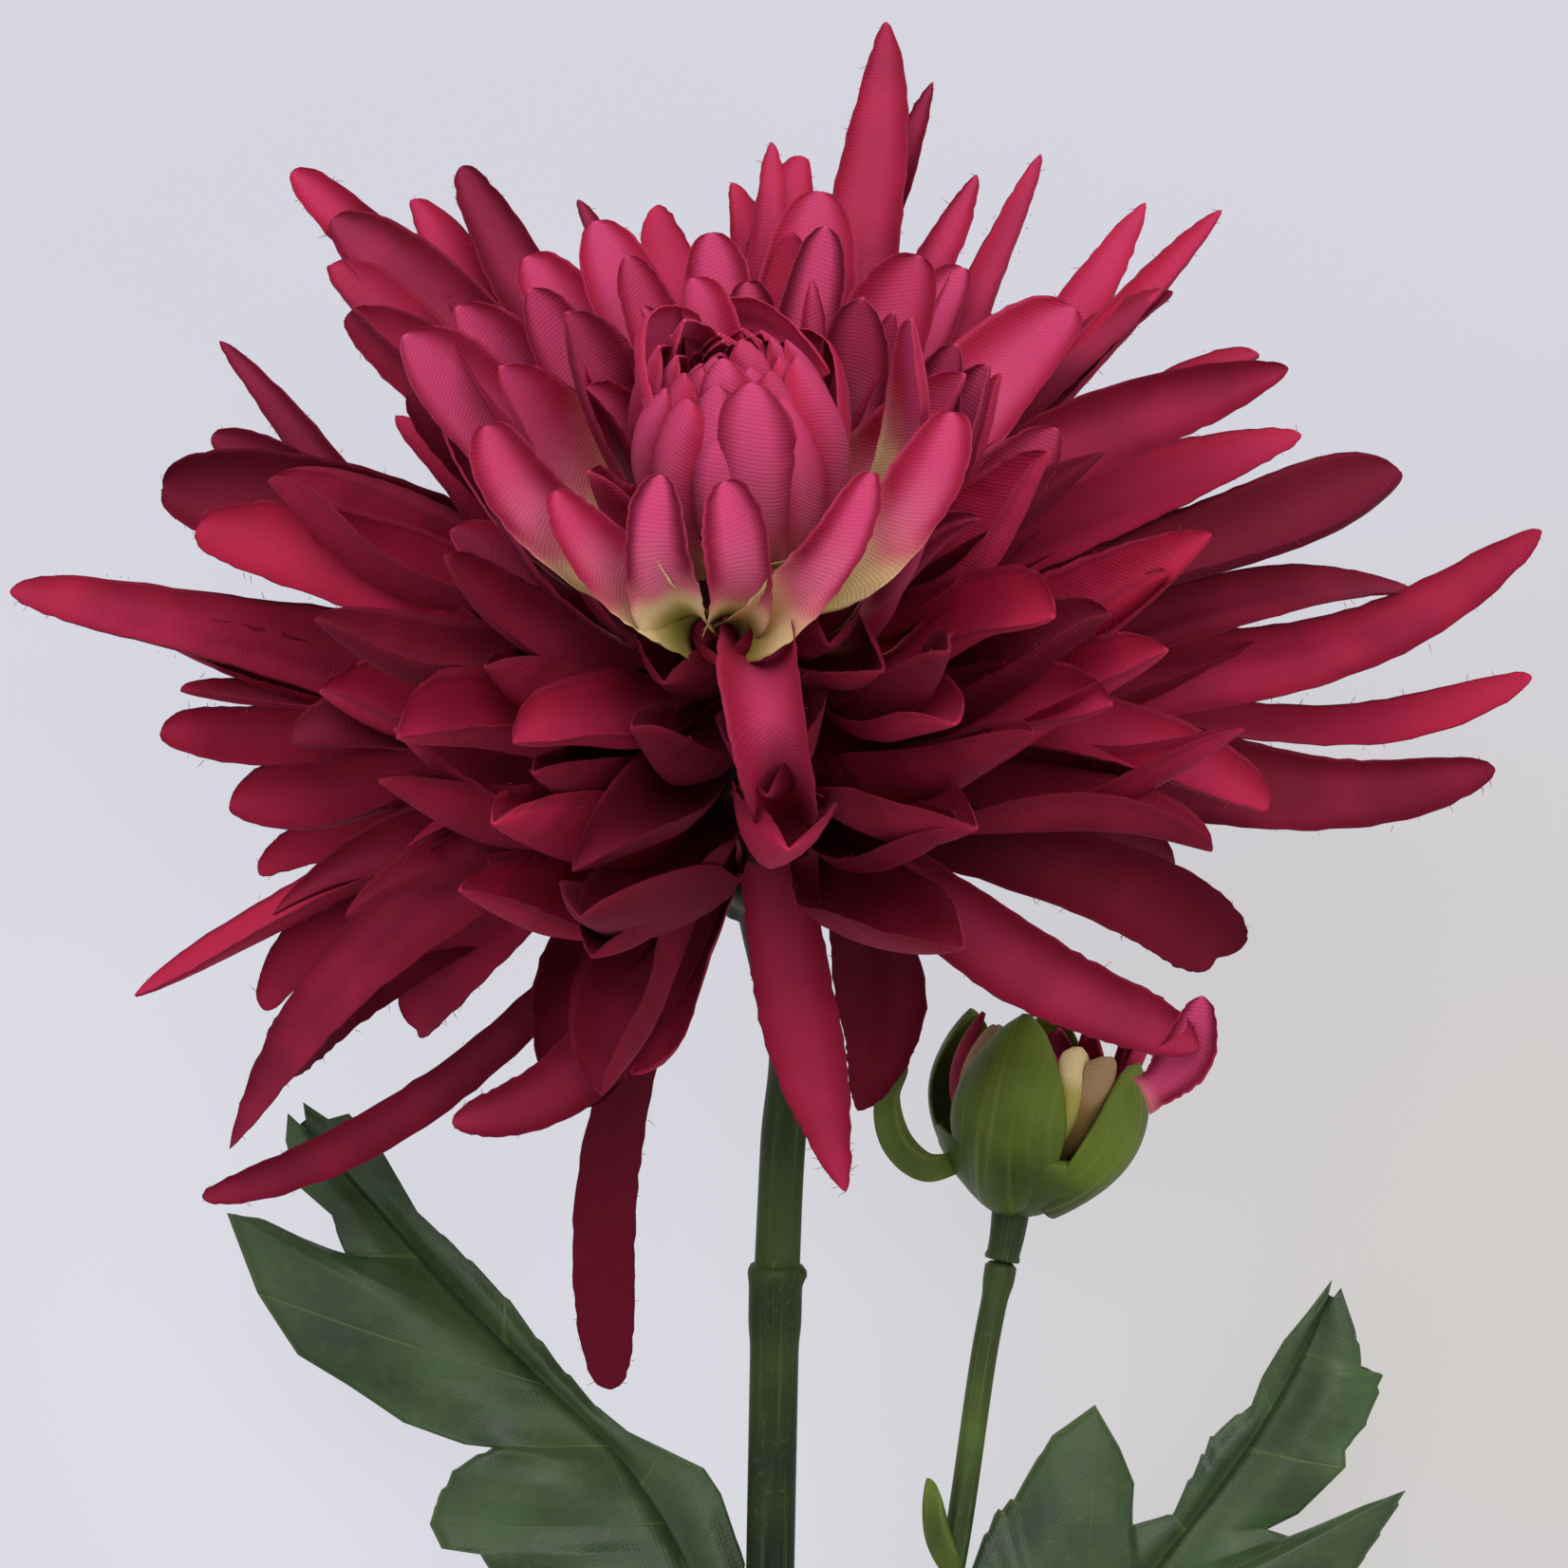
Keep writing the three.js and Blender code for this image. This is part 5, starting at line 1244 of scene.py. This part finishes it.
def pointed(t, root_share):
    """The width of a blade with a pointed tip, as a share of its full width."""
    return np.sqrt(np.sin(math.pi * (root_share + (1 - root_share) * t)))


def face_offset(face, thickness):
    """From the middle of a blade to its upper face, closer to it at the rim."""
    return face[:, None] * (thickness * (1 - 0.7 * ACROSS ** 4)[:, None] / 2)


def blade_grid(shape):
    """A blade with a groove down its middle. The withered petals are strips, the rest pointed."""
    t = np.linspace(0, BLADE_END, BLADE_ROWS)
    centre, side, face = middle_line(shape, t)
    strip = (0.5 + 0.5 * t) * np.sqrt(1 - t ** 16)
    withered = shape.get("tone") in (CREAM, BROWN)
    half = shape["width"] / 2 * (strip if withered else pointed(t, 0.08))
    lift = shape["cup"] * half[:, None] * ACROSS ** 2
    width = half[:, None] * ACROSS
    return laid_out(centre, side, face, width, lift), face, *blade_notes(width, 12 * t, t)


def bud_pieces(name, shapes, thickness, material, slot, node):
    patchwork = Patchwork()
    for k, shape in enumerate(shapes):
        points, face, cloth, place = blade_grid(shape)
        offset = face_offset(face, thickness)
        patchwork.add(bud_to_table(points + offset), bud_to_table(points - offset),
                      cloth=with_third(cloth, draw(k + 60)), place=with_third(place, k),
                      tone=np.broadcast_to(shape.get("tone", DARK), points.shape))
    patchwork.make(name, material, slot, node)


sepal_shapes = [bud_blade(azimuth, SEPAL_ROOT, SEPAL_BULGE, (radius, height), width)
                for azimuth, width, height, radius in SEPALS]
bud_shapes = [bud_blade(azimuth, BUD_ROOT, BUD_BULGE, (radius, height), width) | {"tone": tone}
              for azimuth, radius, height, width, tone in BUD_PETALS]
bud_pieces("bud_sepals", sepal_shapes, SEPAL_THICKNESS, SEPAL_PLASTIC, "sepal_plastic", "bud_calyx")
bud_pieces("bud_inner_petals", bud_shapes, BUD_THICKNESS, PETAL_CLOTH, "petal_fabric", "bud_petals")

# %% [markdown]
# ## Narrow blades
#
# The bent-off sepal and the small bract on the side stem are narrow blades that follow a line
# of their own. They use the stem's smooth line, with a flat section that narrows to a point.

# %% Make the bent sepal and the bract
NARROW_ROWS = 40
BENT_SEPAL_LINE = [(-5.6, -1, 2.9), (-8.6, -1.4, 2.2), (-11.6, -1.6, 4.2), (-13, -1.6, 8),
                   (-11.8, -1.4, 10.8)]
BRACT_LINE = [(16.9, -65.6, 18.6), (15.4, -62, 19.8), (14.7, -57, 20.4)]


def narrow_piece(name, line, width, thickness, faces_to, to_table, node):
    """A pointed blade along a line, whose upper face looks about one way."""
    centres, length = smooth_line(line, NARROW_ROWS)
    along = unit(np.gradient(centres, axis=0))
    side = unit(np.cross(faces_to, along))
    face = np.cross(along, side)
    t = np.linspace(0, BLADE_END, NARROW_ROWS)
    half = width / 2 * pointed(t, 0.12)
    width = half[:, None] * ACROSS
    points = laid_out(centres, side, face, width, 0.25 * half[:, None] * ACROSS ** 2)
    offset = face_offset(face, thickness)
    cloth, _ = blade_notes(width, length * t, t)
    patchwork = Patchwork()
    patchwork.add(to_table(points + offset), to_table(points - offset), cloth=with_third(cloth, 0))
    patchwork.make(name, SEPAL_PLASTIC, "sepal_plastic", node)


narrow_piece("bent_sepal", BENT_SEPAL_LINE, 2.8, 0.7, (0, -1, 0), bud_to_table, "bud_calyx")
narrow_piece("bract_blade", BRACT_LINE, 2.4, 0.8, (0.4, 0, 1), beside_calyx, "stem")

# %% [markdown]
# ## Printed leaves
#
# The leaves are cloth too, stiffened with a wax that gives them a blue sheen, and veins are
# printed and pressed into them. Each half of a leaf hangs between the rib and an outline of
# lobes and teeth. A row of an outline gives x and y from the calyx, and how far up the rib the
# cloth leaves it for that point. The rib's points have their height over the table too.

# %% List the left leaf's outline
LEFT_LEAF = dict(
    rib=[(-2.9, -75.6, 21.6), (-6.7, -64.5, 18.8), (-12.5, -55.5, 16.5), (-19.5, -48.8, 15),
         (-26, -42.5, 14), (-32.5, -35.5, 13), (-40.6, -26.5, 12)],
    left=[(-6.8, -71, 0.09), (-10, -68.2, 0.11), (-14.1, -66.7, 0.13), (-17.4, -66.1, 0.15),
          (-20.9, -65.7, 0.17), (-23.6, -64.9, 0.19), (-24.4, -63.6, 0.21), (-27.8, -63.2, 0.23),
          (-28.9, -61.2, 0.25), (-28.2, -58.9, 0.27), (-26.6, -56.2, 0.3), (-23.4, -54.5, 0.35),
          (-26, -54.3, 0.38), (-31.3, -52.5, 0.41), (-36.3, -49.2, 0.45), (-40.6, -46.6, 0.49),
          (-44.2, -41.2, 0.5), (-47, -34.3, 0.54), (-43.8, -34.8, 0.59), (-40.6, -36.3, 0.65),
          (-36.6, -38, 0.75), (-37.8, -34.5, 0.84), (-40.9, -31.9, 0.89), (-42, -28, 0.94),
          (-41.8, -25.6, 0.98)],
    right=[(-2, -68.6, 0.1), (-1.3, -64.5, 0.14), (-3.4, -58.5, 0.2), (-4.9, -56.3, 0.25),
           (-8.5, -54.6, 0.31), (-11.6, -53.2, 0.36), (-14.5, -51, 0.42), (-18, -47.2, 0.49),
           (-22.6, -41.3, 0.58), (-27, -37, 0.67), (-30.2, -34.2, 0.74), (-33.4, -28.9, 0.84),
           (-36.4, -25.6, 0.91), (-38.2, -26.1, 0.95), (-40.4, -24.6, 0.985)])
print("points of the left leaf", len(LEFT_LEAF["left"]) + len(LEFT_LEAF["right"]))

# %% List the right leaf's outline
RIGHT_LEAF = dict(
    rib=[(13, -89, 17), (18, -85, 15.4), (24.5, -79.5, 14), (30.5, -72, 12.8), (35.8, -65, 12),
         (42, -57, 11.6), (47, -49, 11.4), (50.4, -41.8, 11.5)],
    left=[(15.8, -84.9, 0.09), (15.2, -79.8, 0.15), (14.2, -75, 0.19), (16.6, -71.5, 0.22),
          (18.3, -66, 0.25), (20.6, -60.9, 0.28), (22.3, -59.4, 0.3), (25.7, -53.9, 0.32),
          (29.5, -51.2, 0.35), (31.7, -55, 0.39), (33, -58.2, 0.43), (32.8, -62, 0.5),
          (36.4, -61, 0.6), (38.7, -56.5, 0.66), (40, -54, 0.7), (43.5, -51.5, 0.76),
          (44.4, -49, 0.81), (46.3, -45.7, 0.88), (48.4, -43.2, 0.94), (50.6, -40.4, 0.98)],
    right=[(19.8, -85.6, 0.15), (23.5, -87.3, 0.18), (28.5, -86.4, 0.2), (33.5, -87.5, 0.22),
           (36, -83, 0.25), (39.5, -80.5, 0.28), (38, -76.5, 0.31), (42, -75, 0.34),
           (47.5, -70.5, 0.36), (52.8, -65.7, 0.38), (54.9, -62.5, 0.4), (57, -58.9, 0.42),
           (53.2, -60.2, 0.45), (46.8, -63, 0.52), (44.8, -62.4, 0.6), (47.5, -61, 0.68),
           (51.7, -56.8, 0.75), (51.7, -55.4, 0.79), (53.8, -52.9, 0.83), (55.1, -48.8, 0.88),
           (53.3, -48, 0.91), (52.6, -44.8, 0.95), (51.4, -41.1, 0.98)])
print("points of the right leaf", len(RIGHT_LEAF["left"]) + len(RIGHT_LEAF["right"]))

# %% [markdown]
# The finish of a leaf starts from its notes: how near a point lies to a vein, and how far out it
# lies between the rib and the cut edge, which the dye leaves a little paler.

# %% Print the leaf cloth
WEAVE_SPACING = 0.42
LEAF_DEEP, LEAF_GREEN, LEAF_MOTTLE = dye(38, 56, 30), dye(58, 82, 42), dye(80, 98, 40)
VEIN_GREEN, RIB_GREEN, EDGE_GREEN = dye(98, 110, 50), dye(20, 32, 18), dye(112, 122, 84)
WEAVE_SHADE = dye(16, 26, 20)


def leaf_cloth():
    finish = Finish("leaf_cloth", {
        "Specular IOR Level": 0.4, "Sheen Weight": 0.12, "Sheen Roughness": 0.35,
        "Sheen Tint": dye(190, 215, 230)})
    cloth, x, y, _ = finish.note("cloth")
    _, vein, outward, _ = finish.note("place")
    blotches = finish.noise(cloth, 0.12, 3.0)
    mottles = finish.noise(cloth, 0.8, 3.0)
    fine = finish.noise(cloth, 4.0)
    warp = finish.waves(x + y * 0.4, WEAVE_SPACING)
    weft = finish.waves(y - x * 0.4, WEAVE_SPACING)
    body = finish.mix(finish.ramp(blotches, 0.25, 0.75), LEAF_DEEP, LEAF_GREEN)
    mottled = finish.mix(finish.ramp(mottles, 0.5, 0.8) * 0.3, body, LEAF_MOTTLE)
    vein_line = finish.ramp(1 - vein * (0.9 + 0.3 * mottles), 0.9, 0.99)
    veined = finish.mix(vein_line * 0.3, mottled, VEIN_GREEN)
    rib_line = finish.ramp(1 - outward * 16, 0.1, 0.9)
    ribbed = finish.mix(rib_line * 0.3, veined, RIB_GREEN)
    edged = finish.mix(finish.ramp(outward, 0.975, 0.998) * 0.4, ribbed, EDGE_GREEN)
    weave = finish.ramp(warp * weft + fine, 0.3, 1.4) * 0.06
    finish.use("Base Color", finish.mix(weave, edged, WEAVE_SHADE))
    finish.use("Roughness", 0.36 + 0.26 * blotches)
    pressed = warp * 0.04 + weft * 0.04 + fine * 0.2 - vein_line * 0.5 - rib_line * 0.4
    finish.relief(pressed, 0.0002, 0.5)
    return finish.material


LEAF_CLOTH = leaf_cloth()
print("leaf finish", LEAF_CLOTH.name)

# %% [markdown]
# Each half is a grid of rows from the rib outwards. Between two listed points of the outline the
# row ends on a shallow tooth, which gives the edge its saw where the stamp was sharp. Pressed
# leaves are not flat: each half crowns up between rib and edge. The stiff rib is glued below.

# %% Lay out half a leaf
# Rows between two points of the outline, points across a half, and points of the outline from
# one vein to the next
ROWS_BETWEEN, LEAF_ACROSS, VEIN_STEP = 8, 15, 4
LEAF_THICKNESS = 0.35
TOOTH_DEPTH = 0.45
# How high the cloth crowns where it is at least CROWNED_REACH wide, puffs between two veins, and
# waves at its edge
LEAF_CROWN, CROWNED_REACH, VEIN_PUFF, EDGE_WAVE = 1.1, 10, 0.3, 0.5
# How steeply a half rises from the rib, and how it sags again further out
LEAF_RISE, LEAF_SAG = 0.16, 0.006


def rib_and_edge(rib, outline, spot):
    """Where each row starts on the rib, and where it ends on the outline."""
    corner = np.arange(len(outline))
    x, y, along = (np.interp(spot, corner, outline[:, k]) for k in range(3))
    share = np.linspace(0, 1, len(rib))
    root = np.stack([np.interp(along, share, rib[:, k]) for k in range(3)], -1)
    return root, np.stack([x, y, root[:, 2]], -1)


def leaf_half(rib, outline, seed, patchwork):
    outline = np.array(outline, float)
    part = np.linspace(0, 1, LEAF_ACROSS) ** 0.9
    spot = np.linspace(0, len(outline) - 1, (len(outline) - 1) * ROWS_BETWEEN + 1)
    root, edge = rib_and_edge(rib, outline, spot)
    vein_spots = np.arange(0, len(outline), VEIN_STEP)
    to_vein = np.min(np.abs(spot[:, None] - vein_spots), axis=1) / VEIN_STEP * 2
    sharpness = TOOTH_DEPTH * np.maximum(0, np.sin(0.75 * spot + seed))
    tooth = sharpness * ((spot * 1.5) % 1 - 0.5)
    out = unit(edge - root)
    edge = edge + out * tooth[:, None]
    points = root[:, None] + (edge - root)[:, None] * part[:, None]
    reach = np.linalg.norm(points - root[:, None], axis=-1)
    wave = EDGE_WAVE * np.sin(1.3 * spot + seed)[:, None] * part
    breadth = np.minimum(1, np.linalg.norm(edge - root, axis=-1) / CROWNED_REACH)
    crown = LEAF_CROWN * breadth * (1 + 0.5 * np.sin(0.8 * spot + seed))
    puff = (crown + VEIN_PUFF * np.minimum(to_vein, 1))[:, None] * np.sin(math.pi * part) ** 2
    points[..., 2] += LEAF_RISE * reach - LEAF_SAG * reach ** 2 + wave + puff
    near_vein = to_vein[:, None] * VEIN_STEP * (0.25 + part)
    place = np.stack([near_vein, np.broadcast_to(part, near_vein.shape), 0 * near_vein], -1)
    offset = np.array([0, 0, LEAF_THICKNESS / 2])
    standing = beside_calyx(points)
    grids = [standing + offset, standing - offset, place, points * (1, 1, 0)]
    # The rows run the other way on one half, so that its upper face looks up too
    if np.cross(out[0][:2], (edge[1] - edge[0])[:2]) < 0:
        grids = [grid[::-1] for grid in grids]
    upper, lower, place, cloth = grids
    patchwork.add(upper, lower, place=place, cloth=cloth)


print("rows between two points of the outline", ROWS_BETWEEN)

# %% Make the leaves
RIB_STEPS = 400
RIB_DEPTH = 0.6


def stalk_radius(angle, distance, length):
    return 1.05 - 0.6 * np.minimum(1, 2.2 * distance / length) + 0 * angle


def leaf_blade(side, leaf, seed):
    rib, _ = smooth_line(leaf["rib"], RIB_STEPS)
    patchwork = Patchwork()
    leaf_half(rib, leaf["left"], seed, patchwork)
    leaf_half(rib, leaf["right"], seed + 2, patchwork)
    patchwork.make(f"leaf_{side}_blade", LEAF_CLOTH, "leaf_fabric", f"leaf_{side}")


def leaf_rib(side, leaf):
    """The rib, which lies under its blade while its foot stays at the stem."""
    below = [(x, y, z - RIB_DEPTH * min(1, k)) for k, (x, y, z) in enumerate(leaf["rib"])]
    stem_piece(f"leaf_{side}_rib", below, stalk_radius, 90, STEM_PLASTIC, "stem_plastic",
               f"leaf_{side}")


leaf_blade("left", LEFT_LEAF, 0)
leaf_blade("right", RIGHT_LEAF, 4)
leaf_rib("left", LEFT_LEAF)
leaf_rib("right", RIGHT_LEAF)

# %% [markdown]
# ## The post inside
#
# Deep between the petals shows the post that they are set in. It is greenish yellow where the
# pale cup surrounds it, and dark red below. It is turned like the calyx, with a lumpy skin.

# %% Turn the post
POST_PROFILE = [
    (0, -1), (4, -1), (7.4, 2), (7.4, 4), (5.4, 9), (5.4, 12), (5.6, 24), (6, 30), (6, 34),
    (5, 37), (3, 38.5), (0, 38.5)]
POST_CLUMPS = 12
# The heights between which the dark red of the post turns into greenish yellow
POST_DARK_BELOW, POST_PALE_ABOVE = 27.0, 32.0


def post_plastic():
    finish = Finish("post_plastic", {"Roughness": 0.6})
    _, _, height, _ = finish.note("cloth")
    clumps = finish.noise(finish.position(), 700.0)
    upper = finish.ramp(height, POST_DARK_BELOW, POST_PALE_ABOVE)
    base = finish.mix(upper, dye(60, 6, 22), dye(150, 140, 58))
    finish.use("Base Color", finish.mix(clumps * 0.4, base, dye(64, 30, 24)))
    finish.relief(clumps, 0.0004, 0.8)
    return finish.material


turned_piece("bloom_post", POST_PROFILE, POST_CLUMPS, 0.06, bloom_to_table,
             post_plastic(), "petal_fabric", "bloom")

# %% [markdown]
# ## Floor, light and camera
#
# A plain pale floor and a few large soft lights show the flower as a daylit room would. The
# floor is a milky panel with a little light of its own, as photographers use under small things,
# so that the shadows stay pale. The window's light gathers beside the stem, and a warm
# reflection lies to its right: two soft round patches, which fade out within a decimetre.

# %% Lay the floor
FLOOR_HALF = 2
FLOOR_GLOW = (-0.01, 0.036, 0)
FLOOR_WARMTH = (0.08, 0.03, 0)


def floor_paint():
    finish = Finish("floor_paint", {"Roughness": 0.9, "Emission Strength": 0.8})
    place = finish.position()
    shade = finish.noise(place, 1.3)
    finish.use("Base Color", finish.mix(shade, dye(84, 85, 92), dye(92, 92, 96)))
    warmth = finish.ramp(0.1 - finish.apart(place, FLOOR_WARMTH), 0.0, 0.09)
    glow = finish.ramp(0.11 - finish.apart(place, FLOOR_GLOW), 0.0, 0.09)
    paper = finish.mix(glow, dye(214, 214, 225), dye(230, 230, 239))
    finish.use("Emission Color", finish.mix(warmth, paper, dye(210, 206, 200)))
    return finish.material


floor_mesh = bpy.data.meshes.new("floor")
corners = [(x * FLOOR_HALF, y * FLOOR_HALF, 0) for x, y in ((-1, -1), (1, -1), (1, 1), (-1, 1))]
floor_mesh.from_pydata(corners, [], [(0, 1, 2, 3)])
floor_mesh.materials.append(floor_paint())
floor = bpy.data.objects.new("floor", floor_mesh)
bpy.context.scene.collection.objects.link(floor)
print("floor", 2 * FLOOR_HALF, "metres wide")

# %% Hang the lights
LIGHT_AIM = (0, 0.06, 0.04)


def soft_light(name, place, size, power, colour):
    light = bpy.data.lights.new(name, "AREA")
    light.size, light.energy, light.color = size, power, colour
    lamp = bpy.data.objects.new(name, light)
    lamp.location = place
    aim = Vector(LIGHT_AIM) - lamp.location
    lamp.rotation_euler = aim.to_track_quat("-Z", "Y").to_euler()
    bpy.context.scene.collection.objects.link(lamp)


soft_light("window", (0.1, 0.85, 1.05), 1.3, 18.4, (1.0, 0.98, 0.97))
soft_light("left_wall", (-0.9, -0.1, 0.9), 1.2, 3.6, (0.95, 0.97, 1.0))
soft_light("right_wall", (0.9, -0.3, 0.9), 1.2, 4, (1.0, 0.97, 0.94))
world = bpy.data.worlds.new("room")
world.use_nodes = True
background = world.node_tree.nodes["Background"].inputs
background["Color"].default_value = (0.82, 0.83, 0.9, 1)
background["Strength"].default_value = 0.4
bpy.context.scene.world = world
bpy.context.scene.view_settings.view_transform = "Standard"

# %% [markdown]
# ## The camera
#
# The camera hangs straight above, half a metre over the calyx, because that is how the flower
# was seen. Its focal length follows from the width of the picture at the calyx, and its place
# from the spot where the calyx lies in the picture.

# %% Set the camera
PICTURE_PIXELS = 1652
MM_PER_PIXEL = 0.08
CALYX_PIXEL = (800, 870)
CAMERA_RISE = 500
SENSOR_MM = 36

camera = bpy.data.cameras.new("camera")
camera.sensor_width = SENSOR_MM
camera.lens = SENSOR_MM * CAMERA_RISE / (PICTURE_PIXELS * MM_PER_PIXEL)
eye = bpy.data.objects.new("camera", camera)
middle_pixel = PICTURE_PIXELS / 2
eye.location = Vector((
    CALYX[0] + (middle_pixel - CALYX_PIXEL[0]) * MM_PER_PIXEL,
    CALYX[1] + (CALYX_PIXEL[1] - middle_pixel) * MM_PER_PIXEL,
    CALYX[2] + CAMERA_RISE)) * MM
bpy.context.scene.collection.objects.link(eye)
bpy.context.scene.camera = eye
print("focal length", round(camera.lens, 1))

# %% [markdown]
